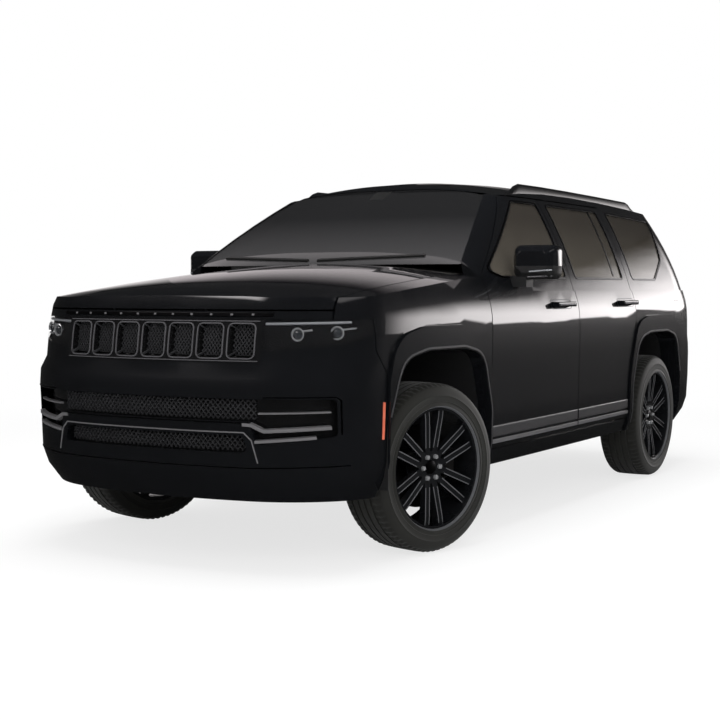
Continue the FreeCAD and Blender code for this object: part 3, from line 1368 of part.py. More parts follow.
doc.recompute()
for item in doc.Objects:
    if "Invalid" in item.State or "Error" in item.State:
        raise RuntimeError(f"{item.Label} failed: {item.State}")
for item in PARTS:
    if item.Shape.isNull() or not item.Shape.isValid() or not item.Shape.Solids:
        raise RuntimeError(f"{item.Label} has no valid solid")
for item in PARTS:
    item.Shape.exportStep(f"parts/{item.Label}.step")
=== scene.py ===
"""The looks of a black full-size three-row SUV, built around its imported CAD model.

Metres. +X points to the front of the vehicle, +Y to its left and +Z up.
"""

import json
import math

import bmesh
import bpy
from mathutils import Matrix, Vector
from mathutils.bvhtree import BVHTree

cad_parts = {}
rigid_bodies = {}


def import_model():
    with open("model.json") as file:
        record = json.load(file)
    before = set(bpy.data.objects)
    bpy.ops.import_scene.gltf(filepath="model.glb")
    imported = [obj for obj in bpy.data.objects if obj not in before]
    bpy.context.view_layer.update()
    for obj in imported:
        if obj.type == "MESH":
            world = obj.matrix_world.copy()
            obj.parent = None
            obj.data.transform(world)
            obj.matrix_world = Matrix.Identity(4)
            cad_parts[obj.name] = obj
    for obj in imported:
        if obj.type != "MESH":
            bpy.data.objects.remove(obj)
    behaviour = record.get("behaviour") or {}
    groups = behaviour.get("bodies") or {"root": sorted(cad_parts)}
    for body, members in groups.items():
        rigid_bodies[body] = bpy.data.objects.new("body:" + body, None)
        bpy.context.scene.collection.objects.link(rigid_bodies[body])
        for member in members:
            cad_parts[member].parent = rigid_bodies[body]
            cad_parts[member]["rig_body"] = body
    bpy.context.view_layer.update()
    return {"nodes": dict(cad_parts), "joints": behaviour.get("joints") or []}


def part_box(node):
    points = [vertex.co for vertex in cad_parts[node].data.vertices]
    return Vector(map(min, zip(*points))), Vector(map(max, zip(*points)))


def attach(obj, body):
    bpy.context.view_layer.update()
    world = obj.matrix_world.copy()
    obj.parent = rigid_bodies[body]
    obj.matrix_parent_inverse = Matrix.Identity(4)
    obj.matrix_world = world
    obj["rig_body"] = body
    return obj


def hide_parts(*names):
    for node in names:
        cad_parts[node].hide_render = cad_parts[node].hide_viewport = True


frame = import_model()
scene = bpy.context.scene

# Camera. The photographer stood ahead of the left front wheel, at the eye height of someone sitting,
# with a short telephoto lens, and looked slightly down.
CAMERA_PLACE = (7.4276, 3.9705, 1.2588)
CAMERA_TILT = 87.032
CAMERA_HEADING = 120.57
LENS_MM = 68.4
SENSOR_MM = 36
FAR_CLIP = 200


def placed(name, data):
    """A new object in the scene."""
    item = bpy.data.objects.new(name, data)
    scene.collection.objects.link(item)
    return item


camera_data = bpy.data.cameras.new("camera")
camera_data.lens = LENS_MM
camera_data.sensor_width = SENSOR_MM
camera_data.clip_end = FAR_CLIP
camera = placed("camera", camera_data)
camera.location = CAMERA_PLACE
camera.rotation_euler = (math.radians(CAMERA_TILT), 0, math.radians(CAMERA_HEADING))
scene.camera = camera
scene.view_settings.view_transform = "Standard"


# Studio. A pale seamless floor in a white surround, with soft lamps overhead and in front. Gloss sees
# black cloth all round, four soft boxes that draw the light bands in the lacquer, and a card over the hood.
def linear(code):
    """A colour written as an sRGB hex value, as the linear colour that the shaders take."""
    parts = [int(code[i:i + 2], 16) / 255 for i in (1, 3, 5)]
    return tuple(c / 12.92 if c <= 0.04045 else ((c + 0.055) / 1.055) ** 2.4 for c in parts) + (1.0,)


def add(tree, kind, inputs=None, **settings):
    """Adds one node with its settings. An input is a value, or another node's output to link."""
    item = tree.nodes.new(kind)
    for key, value in settings.items():
        setattr(item, key, value)
    for key, value in (inputs or {}).items():
        if isinstance(value, bpy.types.NodeSocket):
            tree.links.new(value, item.inputs[key])
        else:
            item.inputs[key].default_value = value
    return item


def blank_material(name):
    """A material without nodes, its tree, and a place on the object as the shaders know it."""
    material = bpy.data.materials.new(name)
    material.use_nodes = True
    tree = material.node_tree
    tree.nodes.clear()
    return material, tree, add(tree, "ShaderNodeTexCoord").outputs["Object"]


def mesh_object(name, vertices, faces, materials=()):
    """A mesh as an object at the origin."""
    mesh = bpy.data.meshes.new(name)
    mesh.from_pydata([tuple(v) for v in vertices], [], [tuple(f) for f in faces])
    for material in materials:
        mesh.materials.append(material)
    return placed(name, mesh)


def worked_object(name, work, materials=()):
    """A bmesh as an object at the origin, with its points in the bmesh's order."""
    work.verts.index_update()
    vertices = [v.co.copy() for v in work.verts]
    faces = [[v.index for v in f.verts] for f in work.faces]
    work.free()
    return mesh_object(name, vertices, faces, materials)


def card(name, width, depth, material, height=0.0):
    """A flat rectangle that faces up."""
    corners = [(x * width / 2, y * depth / 2, height) for x, y in ((-1, -1), (1, -1), (1, 1), (-1, 1))]
    return mesh_object(name, corners, [(0, 1, 2, 3)], [material])


def seen_as_white(tree):
    """1 for rays from the camera, from gloss and through glass, which see the set as plain white."""
    path = add(tree, "ShaderNodeLightPath").outputs
    seen = path["Is Camera Ray"]
    for ray in ("Is Glossy Ray", "Is Transmission Ray"):
        seen = add(tree, "ShaderNodeMath", {0: seen, 1: path[ray]}, operation="MAXIMUM").outputs[0]
    return seen


WHITE = linear("#ffffff")
world = bpy.data.worlds.new("studio")
world.use_nodes = True
scene.world = world
sky = world.node_tree
sky.nodes.clear()
soft_sky = add(sky, "ShaderNodeBackground", {"Color": WHITE, "Strength": 0.62})
white_sky = add(sky, "ShaderNodeBackground", {"Color": WHITE, "Strength": 1.0})
sky_mix = add(sky, "ShaderNodeMixShader",
              {0: seen_as_white(sky), 1: soft_sky.outputs[0], 2: white_sky.outputs[0]})
add(sky, "ShaderNodeOutputWorld", {"Surface": sky_mix.outputs[0]})

# The camera sees the floor as plain white. Near the car a quarter of what it sees is the lit cloth, so
# that the shadow stays, and that share fades out further away.
FLOOR_SIZE = 120
FLOOR_SET = -0.002
FLOOR_WHITE = 0.74
FADE_START, FADE_END = 2.5, 8.0
floor_paint, tree, place = blank_material("pale_studio_floor")
coat = add(tree, "ShaderNodeBsdfDiffuse", {"Color": linear("#f4f4f4")})
glow = add(tree, "ShaderNodeEmission", {"Color": WHITE, "Strength": 1.0})
away = add(tree, "ShaderNodeVectorMath", {0: place}, operation="LENGTH")
white = add(tree, "ShaderNodeMapRange", {"Value": away.outputs["Value"], "From Min": FADE_START,
                                         "From Max": FADE_END, "To Min": FLOOR_WHITE, "To Max": 1.0},
            interpolation_type="SMOOTHSTEP")
share = add(tree, "ShaderNodeMath", {0: seen_as_white(tree), 1: white.outputs[0]}, operation="MULTIPLY")
mix = add(tree, "ShaderNodeMixShader", {0: share.outputs[0], 1: coat.outputs[0], 2: glow.outputs[0]})
add(tree, "ShaderNodeOutputMaterial", {"Surface": mix.outputs[0]})
floor = card("studio_floor", FLOOR_SIZE, FLOOR_SIZE, floor_paint, FLOOR_SET)


def glowing(tree, colour, level):
    """Ends a cloth's material in its own light."""
    glow = add(tree, "ShaderNodeEmission", {"Color": colour, "Strength": level})
    add(tree, "ShaderNodeOutputMaterial", {"Surface": glow.outputs[0]})


def only_for_gloss(item):
    """Hides a card from everything but reflections."""
    for sight in ("camera", "diffuse", "shadow", "transmission", "volume_scatter"):
        setattr(item, "visible_" + sight, False)


def black_cloth(reach=18):
    """A dome of black cloth round the car and black cloth on the floor, as deep as real felt."""
    felt, tree, place = blank_material("black_studio_felt")
    weave = add(tree, "ShaderNodeTexNoise", {"Vector": place, "Scale": 0.4})
    level = add(tree, "ShaderNodeMapRange", {"Value": weave.outputs["Fac"], "To Min": 0.012, "To Max": 0.03})
    glowing(tree, WHITE, level.outputs[0])
    work = bmesh.new()
    bmesh.ops.create_uvsphere(work, u_segments=48, v_segments=24, radius=reach)
    only_for_gloss(worked_object("black_dome", work, [felt]))
    only_for_gloss(card("black_floor_cloth", 2 * reach, 2 * reach, felt, 0.0005))


def soft_box(name, heading, height, distance, width, depth, strength, soft_low, soft_high):
    """A soft box that faces the car from a heading in degrees.

    Its cloth fades to black over shares of its depth at both long edges.
    """
    cloth, tree, place = blank_material(name + "_cloth")
    place = add(tree, "ShaderNodeSeparateXYZ", {0: place}).outputs
    side = add(tree, "ShaderNodeMath", {0: place["X"]}, operation="ABSOLUTE").outputs[0]
    level = strength
    for across, dark, bright in ((place["Y"], -depth / 2, depth * (soft_low - 0.5)),
                                 (place["Y"], depth / 2, depth * (0.5 - soft_high)),
                                 (side, width / 2, width * 0.3)):
        fade = add(tree, "ShaderNodeMapRange", {"Value": across, "From Min": dark, "From Max": bright},
                   interpolation_type="SMOOTHSTEP")
        level = add(tree, "ShaderNodeMath", {0: fade.outputs[0], 1: level}, operation="MULTIPLY").outputs[0]
    glowing(tree, linear("#fffafa"), level)
    box = card(name, width, depth, cloth)
    angle = math.radians(heading)
    box.location = (distance * math.cos(angle), distance * math.sin(angle), height)
    box.rotation_euler = (Vector((0, 0, 1.0)) - box.location).to_track_quat("Z", "Y").to_euler()
    only_for_gloss(box)


def soft_light(name, place, aim, width, depth, power):
    """A large soft lamp that points at a spot on the car."""
    lamp = bpy.data.lights.new(name, "AREA")
    lamp.shape = "RECTANGLE"
    lamp.size = width
    lamp.size_y = depth
    lamp.energy = power
    item = placed(name, lamp)
    item.location = place
    item.rotation_euler = (Vector(aim) - Vector(place)).to_track_quat("-Z", "Y").to_euler()
    item.visible_glossy = False


def hood_reflector(x=1.08, half=1.1, low=1.40, high=1.66, full=1.43):
    """A pale card over the foot of the windscreen that lights the hood's rear half, from in front only."""
    cloth, tree, place = blank_material("hood_reflector_cloth")
    rise = add(tree, "ShaderNodeSeparateXYZ", {0: place}).outputs["Z"]
    fade = add(tree, "ShaderNodeMapRange", {"Value": rise, "From Min": high, "From Max": full,
                                            "To Max": 0.62}, interpolation_type="SMOOTHSTEP")
    glow = add(tree, "ShaderNodeEmission", {"Color": linear("#fff6f8"), "Strength": fade.outputs[0]})
    clear = add(tree, "ShaderNodeBsdfTransparent")
    facing = add(tree, "ShaderNodeNewGeometry").outputs["Backfacing"]
    both = add(tree, "ShaderNodeMixShader", {0: facing, 1: glow.outputs[0], 2: clear.outputs[0]})
    add(tree, "ShaderNodeOutputMaterial", {"Surface": both.outputs[0]})
    corners = [(x, -half, low), (x, half, low), (x, half, high), (x, -half, high)]
    only_for_gloss(mesh_object("hood_reflector", corners, [(0, 1, 2, 3)], [cloth]))


black_cloth()
hood_reflector()
soft_box("rear_left_soft_box", 152, 3.1, 13, 13, 3.4, 5.5, soft_low=0.06, soft_high=0.8)
soft_box("far_soft_box", 212, 2.5, 13, 16, 4.4, 0.8, soft_low=0.15, soft_high=0.7)
soft_box("front_soft_box", -27, 7.5, 9, 9, 3.0, 8.0, soft_low=0.3, soft_high=0.5)
soft_box("front_left_soft_box", 75, 8.5, 9, 10, 2.2, 1.6, soft_low=0.4, soft_high=0.4)
soft_light("overhead_soft_lamp", (0.4, 0, 6.0), (0.4, 0, 0), 7, 4, 420)
soft_light("front_soft_lamp", (6.0, 4.5, 3.2), (1.0, 0.3, 0.6), 4, 3, 150)


# Painted body panels. Pressed steel and aluminium in a black two-coat finish: a dark base coat under a
# thick clear lacquer, which gives the deep mirror and its faint orange peel.
def principled(tree, inputs):
    """The shader and output that each finish ends in."""
    shader = add(tree, "ShaderNodeBsdfPrincipled", inputs)
    add(tree, "ShaderNodeOutputMaterial", {"Surface": shader.outputs[0]})


def blend_of(tree, share, tones):
    """Two close colours, mixed by a share."""
    tint = add(tree, "ShaderNodeMix", {"Factor": share}, data_type="RGBA")
    tint.inputs[6].default_value = linear(tones[0])
    tint.inputs[7].default_value = linear(tones[1])
    return tint.outputs[2]


def coating(name, tones, drift, values, texture=None, scale=0.0, detail=None, bump=(0, 0), onto="Normal"):
    """A material whose two tones drift slowly, with the shader's own values.

    The relief comes from a texture at a scale. bump holds its strength and its depth in metres.
    """
    material, tree, place = blank_material(name)
    slow = add(tree, "ShaderNodeTexNoise", {"Vector": place, "Scale": drift, "Detail": 3.0})
    inputs = {"Base Color": blend_of(tree, slow.outputs["Fac"], tones), **values}
    if texture:
        grain = add(tree, texture, {"Vector": place, "Scale": scale, **(detail or {})})
        strength, depth = bump
        inputs[onto] = add(tree, "ShaderNodeBump", {"Height": grain.outputs[0], "Strength": strength,
                                                    "Distance": depth}).outputs[0]
    principled(tree, inputs)
    return material


NOISE = "ShaderNodeTexNoise"
CELLS = "ShaderNodeTexVoronoi"


def lacquer(name, tones, peel_mm):
    """Car lacquer: the base colour drifts a little, and the clear coat has a soft orange peel."""
    return coating(name, tones, 2.2, {"Roughness": 0.42, "Specular IOR Level": 0.08, "Coat Weight": 1.0,
                                     "Coat Roughness": 0.02, "Coat IOR": 1.5},
                  NOISE, 1000 / peel_mm, {"Detail": 2.0}, bump=(0.03, 0.0002), onto="Coat Normal")


body_paint = lacquer("black_car_lacquer", ("#0b0c0e", "#121316"), 9.0)


def joined_copy(name, node):
    """A copy of a CAD node's surface with its loose triangles joined."""
    work = bmesh.new()
    work.from_mesh(frame["nodes"][node].data)
    bmesh.ops.remove_doubles(work, verts=work.verts, dist=0.00003)
    bmesh.ops.dissolve_degenerate(work, edges=work.edges, dist=0.00001)
    return worked_object(name, work)


def even_normals(item, crease):
    """Smooth shading that stays sharp above the crease angle, from each corner's own slice of the surface."""
    mesh = item.data
    corners = {}
    groups = list(range(len(mesh.loops)))

    def first_of(i):
        while groups[i] != i:
            groups[i] = groups[groups[i]]
            i = groups[i]
        return i

    limit = math.cos(math.radians(crease))
    points = [v.co for v in mesh.vertices]
    normals = [p.normal.copy() for p in mesh.polygons]
    weights = [None] * len(mesh.loops)
    for p in mesh.polygons:
        loops = list(p.loop_indices)
        ring = [mesh.loops[i].vertex_index for i in loops]
        for k, i in enumerate(loops):
            here, there, after = ring[k], ring[(k + 1) % len(ring)], loops[(k + 1) % len(loops)]
            a = points[there] - points[here]
            b = points[ring[k - 1]] - points[here]
            weights[i] = p.normal * (a.cross(b).length / max(a.length_squared * b.length_squared, 1e-16))
            other = corners.pop((there, here), None)
            if other is None:
                corners[here, there] = (i, after, p.index)
            elif normals[other[2]].dot(p.normal) > limit:
                groups[first_of(other[1])] = first_of(i)
                groups[first_of(other[0])] = first_of(after)
    sums = {}
    for i, weight in enumerate(weights):
        k = first_of(i)
        sums[k] = sums[k] + weight if k in sums else weight.copy()
    mesh.polygons.foreach_set("use_smooth", [True] * len(mesh.polygons))
    mesh.normals_split_custom_set([sums[first_of(i)].normalized() for i in range(len(weights))])


def finish_as(item, body, material=None):
    """Gives a finished piece its material and its body."""
    if material:
        item.data.materials.clear()
        item.data.materials.append(material)
    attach(item, body)


def panel_skin(node, material, crease=32):
    """A CAD panel's own surface with smooth highlights, in place of its faceted node."""
    item = joined_copy(node + "_skin", node)
    even_normals(item, crease)
    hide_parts(node)
    finish_as(item, frame["nodes"][node]["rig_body"], material)
    return item


DOORS = ("front_left", "front_right", "rear_left", "rear_right")
for panel in ("roof_panel", "hood", "fenders", "body_sides", *("door_" + door for door in DOORS), "liftgate",
              "front_bumper", "rear_bumper"):
    panel_skin(panel, body_paint)


# Glass. Tempered side panes with a dark brown-grey privacy tint, and a laminated windscreen with a
# lighter one. Both are smooth as a mirror.
def glass_with_painted_shade(name, tones, cover):
    """Float glass with a dyed tint, and painted shade that darkens it from the sill to the top."""
    material, tree, place = blank_material(name)
    # Painted shade: the dim cabin under the roof, seen through the pane, is drawn as a darker colour towards
    # the top.
    height = add(tree, "ShaderNodeSeparateXYZ", {0: place}).outputs["Z"]
    rise = add(tree, "ShaderNodeMapRange", {"Value": height, "From Min": 1.30, "From Max": 1.66})
    principled(tree, {"Base Color": blend_of(tree, rise.outputs[0], tones), "Roughness": 0.03, "Alpha": cover,
                      "Coat Weight": 0.4, "Coat Roughness": 0.01})
    return material


side_glass_painted_shade = glass_with_painted_shade("privacy_glass_painted_shade", ("#5c574f", "#3b3732"), 0.88)
for pane in (*("glass_" + door for door in DOORS), "quarter_glass", "rear_glass"):
    panel_skin(pane, side_glass_painted_shade)
panel_skin("windscreen", glass_with_painted_shade("screen_glass_painted_shade", ("#4a494a", "#1f1f20"), 0.86))


# Window surrounds. Black anodised mouldings run round each side window, and a fixed bar stands in the
# rear door's pane.
def satin_metal(name, tones, rough, metal=1.0):
    """Anodised or plated trim, with a fine drawn grain."""
    return coating(name, tones, 6.0, {"Metallic": metal, "Roughness": rough}, NOISE, 700.0, {"Detail": 2.0},
                  bump=(0.08, 0.0002))


def surface_of(*nodes):
    """A search tree over CAD panels, to set trim on their surface."""
    vertices, faces = [], []
    for node in nodes:
        mesh = frame["nodes"][node].data
        start = len(vertices)
        vertices += [v.co.copy() for v in mesh.vertices]
        faces += [[start + i for i in p.vertices] for p in mesh.polygons]
    return BVHTree.FromPolygons(vertices, faces)


def looking(axis, start, way):
    """How to look along an axis: makes a ray's start and direction from the two other coordinates."""
    aim = Vector([way if k == axis else 0 for k in range(3)])

    def ray(*pair):
        return Vector((*pair[:axis], start, *pair[axis:])), aim
    return ray


from_front, from_behind = looking(0, 3.4, -1), looking(0, -3.4, 1)
from_left, from_right = looking(1, 2.0, -1), looking(1, -2.0, 1)
from_above = looking(2, 3.0, -1)
SIDES = (("left", 1, from_left), ("right", -1, from_right))


def outward(item, join=0.0):
    """Turns a mesh's faces outward, and first joins the points that are nearer than a distance."""
    work = bmesh.new()
    work.from_mesh(item.data)
    if join:
        bmesh.ops.remove_doubles(work, verts=work.verts, dist=join)
        bmesh.ops.dissolve_degenerate(work, edges=work.edges, dist=join)
    bmesh.ops.recalc_face_normals(work, faces=work.faces)
    work.to_mesh(item.data)
    work.free()


def resampled(path, step, closed):
    """Points at even spacing along a path of two-number points, with the unit direction at each."""
    ring = list(path) + ([path[0]] if closed else [])
    points = []
    for (a, b), (c, d) in zip(ring, ring[1:]):
        count = max(1, math.ceil(math.hypot(c - a, d - b) / step))
        points += [(a + (c - a) * i / count, b + (d - b) * i / count) for i in range(count)]
    if not closed:
        points.append(ring[-1])
    result = []
    for i, here in enumerate(points):
        before = points[i - 1] if closed or i else here
        after = points[(i + 1) % len(points)] if closed or i + 1 < len(points) else here
        run = Vector((after[0] - before[0], after[1] - before[1])).normalized()
        result.append((Vector(here), run))
    return result


# The share of a strip's width that each of its two bevels takes.
BEVEL_SHARE = 0.18


def strip_row(surface, look, here, across, rise, sink):
    """A strip's four points at one place: its feet sunk into the panel, and its crown between bevels."""
    row = []
    for share, height in ((-0.5, -sink), (-0.5 + BEVEL_SHARE, rise), (0.5 - BEVEL_SHARE, rise), (0.5, -sink)):
        start, way = look(*(here + across * share))
        place, normal = surface.ray_cast(start, way)[:2]
        if place is None:
            return None
        row.append(place + (-normal if normal.dot(way) > 0 else normal) * height)
    return row


def laid_strips(name, surface, look, paths, width, rise, material, body="body",
                closed=False, step=0.03, sink=0.003):
    """Raised strips with bevelled edges that follow a panel along paths, as one piece."""
    vertices, faces = [], []
    for path in paths:
        rows = []
        for here, run in resampled(path, step, closed):
            row = strip_row(surface, look, here, Vector((-run.y, run.x)) * width, rise, sink)
            if row:
                rows.append(row)
            elif rows:
                break
        if len(rows) < 2:
            continue
        first = len(vertices)
        vertices += [point for row in rows for point in row]
        for i in range(len(rows) if closed else len(rows) - 1):
            a, b = first + 4 * i, first + 4 * ((i + 1) % len(rows))
            faces += [(a + k, a + (k + 1) % 4, b + (k + 1) % 4, b + k) for k in range(4)]
        if not closed:
            last = first + 4 * (len(rows) - 1)
            faces += [(first + 3, first + 2, first + 1, first), (last, last + 1, last + 2, last + 3)]
    item = mesh_object(name, vertices, faces)
    outward(item)
    finish_as(item, body, material)


def grown(outline, amount):
    """A closed outline moved outward from its middle by an amount."""
    middle = Vector([sum(p[k] for p in outline) / len(outline) for k in (0, 1)])
    result = []
    for i, p in enumerate(outline):
        here = Vector(p)
        a = (here - Vector(outline[i - 1])).normalized()
        b = (Vector(outline[(i + 1) % len(outline)]) - here).normalized()
        out = Vector((a.y + b.y, -a.x - b.x)).normalized()
        result.append(tuple(here + (-out if out.dot(here - middle) < 0 else out) * amount))
    return result


def bent(before, here, after, reach, steps):
    """A corner as a curve that starts and ends a distance away from it."""
    start = here + (before - here).normalized() * reach
    end = here + (after - here).normalized() * reach
    return [tuple(start * (1 - t) ** 2 + here * 2 * t * (1 - t) + end * t * t)
            for t in (k / steps for k in range(steps + 1))]


def softened(outline, radius):
    """An outline whose corners are rounded."""
    points = [Vector(p) for p in outline]
    result = []
    for i, here in enumerate(points):
        before, after = points[i - 1], points[(i + 1) % len(points)]
        reach = min(radius, (before - here).length * 0.45, (after - here).length * 0.45)
        result += bent(before, here, after, reach, 5)
    return result


dark_satin = satin_metal("dark_anodised_trim", ("#2c2c2e", "#38383a"), 0.34)
bright_satin = satin_metal("satin_bright_trim", ("#6b6a6c", "#79787a"), 0.3, metal=0.3)
smoked_chrome = satin_metal("smoked_chrome", ("#565558", "#636265"), 0.25, metal=0.3)
SILL, HEAD = 1.330, 1.751
CORNER_RADIUS, MOULDING_SET = 0.024, 0.009
WINDOWS = {
    "front": [(0.952, 1.361), (0.273, HEAD), (-0.048, HEAD), (-0.048, SILL), (0.822, SILL)],
    "rear": [(-0.203, SILL), (-0.203, HEAD), (-1.013, HEAD), (-1.013, SILL)],
    "quarter": [(-1.212, SILL), (-1.212, HEAD), (-2.072, 1.730), (-1.952, 1.465), (-1.682, SILL)],
}
PANE_BAR = [(-0.872, 1.34), (-0.885, 1.742)]
for side, _, look in SIDES:
    for window, outline in WINDOWS.items():
        door = f"door_{window}_{side}"
        node, body = ("body_sides", "body") if window == "quarter" else (door, door)
        path = grown(softened(outline, CORNER_RADIUS), MOULDING_SET)
        laid_strips(f"window_moulding_{window}_{side}", surface_of(node), look, [path], 0.013, 0.0022,
                    dark_satin, body, closed=True)
    laid_strips(f"rear_pane_bar_{side}", surface_of(f"glass_rear_{side}"), look, [PANE_BAR], 0.026, 0.003,
                dark_satin, f"door_rear_{side}")


# Grille. Seven upright slots in a gloss black frame, each with a smoked chrome lip and a deep mesh of
# crossed bars behind it, and a plain trim strip above.
def deep_gloss(name, tones, rough):
    """Piano black or smoked moulding with a hard polish."""
    return coating(name, tones, 5.0, {"Roughness": rough, "Coat Weight": 0.7, "Coat Roughness": 0.04},
                   NOISE, 60.0, {"Detail": 1.0}, bump=(0.03, 0.0003))


def crossed(low_y, high_y, low_z, high_z, pitch, slope):
    """Two sets of slanted lines that fill a rectangle, without the shortest ones at its corners."""
    lines = []
    run = (high_z - low_z) / slope
    for way in (1, -1):
        y = low_y - run
        while y < high_y + run:
            start, end = (y, y + run) if way > 0 else (y + run, y)
            (a, b), (c, d) = sorted([(start, low_z), (end, high_z)])
            t0, t1 = max(0, (low_y - a) / (c - a)), min(1, (high_y - a) / (c - a))
            if t1 - t0 > 0.06:
                lines.append([(a + (c - a) * t, b + (d - b) * t) for t in (t0, t1)])
            y += pitch
    return lines


def level(half, z):
    """A level line across the vehicle's middle."""
    return [(-half, z), (half, z)]


gloss_trim = deep_gloss("piano_black_trim", ("#0e0e0f", "#151516"), 0.18)
mesh_plastic = deep_gloss("smoked_mesh_plastic", ("#29292b", "#343436"), 0.32)
SLOTS, GRILLE_HALF, BAR, SLOT_LOW, SLOT_HIGH = 7, 0.556, 0.034, 0.9588, 1.1022
SLOT_RADIUS, LIP_SET, MESH_SET, MESH_BAR = 0.022, 0.006, 0.004, 0.0055
STRIP_HEIGHT, STUD_HEIGHT, STUD_HALF = 1.146, 1.1465, 0.006
STUDS_MM = range(-510, 511, 102)
PITCH = (2 * GRILLE_HALF - BAR) / SLOTS
front_face = surface_of("front_bumper", "grille")
panel_skin("grille", gloss_trim)
lips, bars = [], []
for i in range(SLOTS):
    left = -GRILLE_HALF + BAR + i * PITCH
    right = left + PITCH - BAR
    outline = [(left, SLOT_LOW), (right, SLOT_LOW), (right, SLOT_HIGH), (left, SLOT_HIGH)]
    lips.append(grown(softened(outline, SLOT_RADIUS), LIP_SET))
    bars += crossed(left + MESH_SET, right - MESH_SET, SLOT_LOW + MESH_SET, SLOT_HIGH - MESH_SET, 0.0175,
                    1.35)
studs = [[(y / 1000 - STUD_HALF, STUD_HEIGHT), (y / 1000 + STUD_HALF, STUD_HEIGHT)] for y in STUDS_MM]
laid_strips("grille_slot_lips", front_face, from_front, lips, 0.008, 0.003, smoked_chrome, closed=True)
laid_strips("grille_mesh", front_face, from_front, bars, MESH_BAR, 0.016, mesh_plastic)
laid_strips("grille_surround", front_face, from_front, [level(0.545, 1.118), level(0.545, 0.9425)], 0.006,
            0.003, smoked_chrome)
laid_strips("hood_edge_strip", front_face, from_front, [level(0.60, STRIP_HEIGHT)], 0.022, 0.004, dark_satin)
laid_strips("hood_edge_strip_studs", front_face, from_front, studs, 0.012, 0.0052, bright_satin,
            step=STUD_HALF)


# Bumper intakes. Mesh fills the upper and lower mouths, each pocket at the side holds a bright bar and
# ledge, a bent satin blade runs from the lower mouth into the pocket, and a fine line goes round the chin.
class Nose:
    """The bumper's face as if its intakes were closed: there its depth runs straight from edge to edge."""
    HALF, LOW, HIGH = 0.90, 0.520, 0.800

    def __init__(self):
        self.tree = surface_of("front_bumper")

    def ray_cast(self, start, way):
        if abs(start.y) >= self.HALF or not self.LOW < start.z < self.HIGH:
            return self.tree.ray_cast(start, way)[:2]
        (low, normal), (high, _) = (self.tree.ray_cast(Vector((start.x, start.y, z)), way)[:2]
                                    for z in (self.LOW, self.HIGH))
        if low is None or high is None:
            return None, None
        return low.lerp(high, (start.z - self.LOW) / (self.HIGH - self.LOW)), normal


def mirrored(sign, path):
    """A front or rear view's path on the left side, as it is on a side."""
    return [(sign * y, z) for y, z in path]


nose = Nose()
for name, half, low, high in (("upper", 0.545, 0.689, 0.775), ("lower", 0.50, 0.550, 0.615)):
    laid_strips(f"{name}_intake_mesh", front_face, from_front, crossed(-half, half, low, high, 0.024, 1.2),
                MESH_BAR, 0.012, mesh_plastic)
# Rows of name, width, rise over the face, depth below it, material and path.
POCKET_TRIM = (
    ("bars", 0.010, -0.010, 0.028, bright_satin, [(0.575, 0.716), (0.852, 0.722)]),
    ("blade", 0.022, 0.004, 0.018, bright_satin,
     [(0.505, 0.668), (0.545, 0.666), (0.600, 0.640), (0.850, 0.655)]),
    ("ledge", 0.018, 0.003, 0.018, bright_satin, [(0.560, 0.592), (0.800, 0.612)]),
    ("edge", 0.006, 0.003, 0.003, dark_satin,
     [(0.600, 0.788), (0.866, 0.788), (0.880, 0.775), (0.880, 0.625)]))
for side, sign, _ in SIDES:
    for name, width, rise, sink, material, path in POCKET_TRIM:
        laid_strips(f"pocket_{name}_{side}", nose, from_front, [mirrored(sign, path)], width, rise, material,
                    sink=sink)
# Rows of name, width, rise, material and the left half's path, from the outside in.
NOSE_LINES = (
    ("lower_mouth_line", 0.007, 0.003, bright_satin,
     [(0.572, 0.500), (0.556, 0.560), (0.545, 0.600), (0.510, 0.633)]),
    ("upper_mouth_line", 0.006, 0.003, dark_satin, [(0.54, 0.676)]),
    ("chin_line", 0.006, 0.002, dark_satin, [(0.90, 0.486), (0.55, 0.478)]))
for name, width, rise, material, half in NOSE_LINES:
    laid_strips(name, nose, from_front, [mirrored(-1, half) + half[::-1]], width, rise, material)


# Headlamps. A smoked outer lens over a black housing, with a bright light guide along the top edge
# and two projectors, each with a chromed collar and a wing.
def lit(name, colour, strength):
    """A light guide: milky plastic that glows a little, uneven along its length."""
    material, tree, place = blank_material(name)
    uneven = add(tree, NOISE, {"Vector": place, "Scale": 30.0})
    power = add(tree, "ShaderNodeMapRange", {"Value": uneven.outputs["Fac"], "To Min": strength * 0.8,
                                             "To Max": strength * 1.2})
    principled(tree, {"Base Color": linear(colour), "Roughness": 0.3, "Emission Color": linear(colour),
                      "Emission Strength": power.outputs[0]})
    return material


def lens_plastic(name, tones, cover):
    """Clear polycarbonate with a tint, hard coated."""
    return coating(name, tones, 8.0, {"Roughness": 0.05, "Alpha": cover, "Coat Weight": 1.0,
                                      "Coat Roughness": 0.01})


UP = Vector((0, 0, 1))


def turned_faces(turns, rows, closed=False):
    """The faces between a profile's copies round an axis."""
    return [(k * rows + i, k * rows + (i + 1) % rows, (k + 1) % turns * rows + (i + 1) % rows,
             (k + 1) % turns * rows + i) for k in range(turns) for i in range(rows if closed else rows - 1)]


def smoothed(item, crease=None):
    """Shades a piece smooth, apart from the edges that turn more sharply than a crease angle."""
    item.data.polygons.foreach_set("use_smooth", [True] * len(item.data.polygons))
    if crease:
        item.data.set_sharp_from_angle(angle=math.radians(crease))


def lathe(name, profile, place, axis, turns, material, body="body"):
    """A profile of (radius, place along the axis) turned about a level axis, as a piece."""
    first = axis.cross(UP).normalized()
    second = axis.cross(first)
    vertices = []
    for k in range(turns):
        a = 2 * math.pi * k / turns
        out = first * math.cos(a) + second * math.sin(a)
        vertices += [place + axis * along + out * radius for radius, along in profile]
    item = mesh_object(name, vertices, turned_faces(turns, len(profile)))
    outward(item, join=0.00001)
    smoothed(item, 35)
    finish_as(item, body, material)


HOUSING_SET, HOUSING_SHARE = 0.0235, 0.996
GUIDE = [(0.568, 1.108), (0.74, 1.111), (0.885, 1.114)]
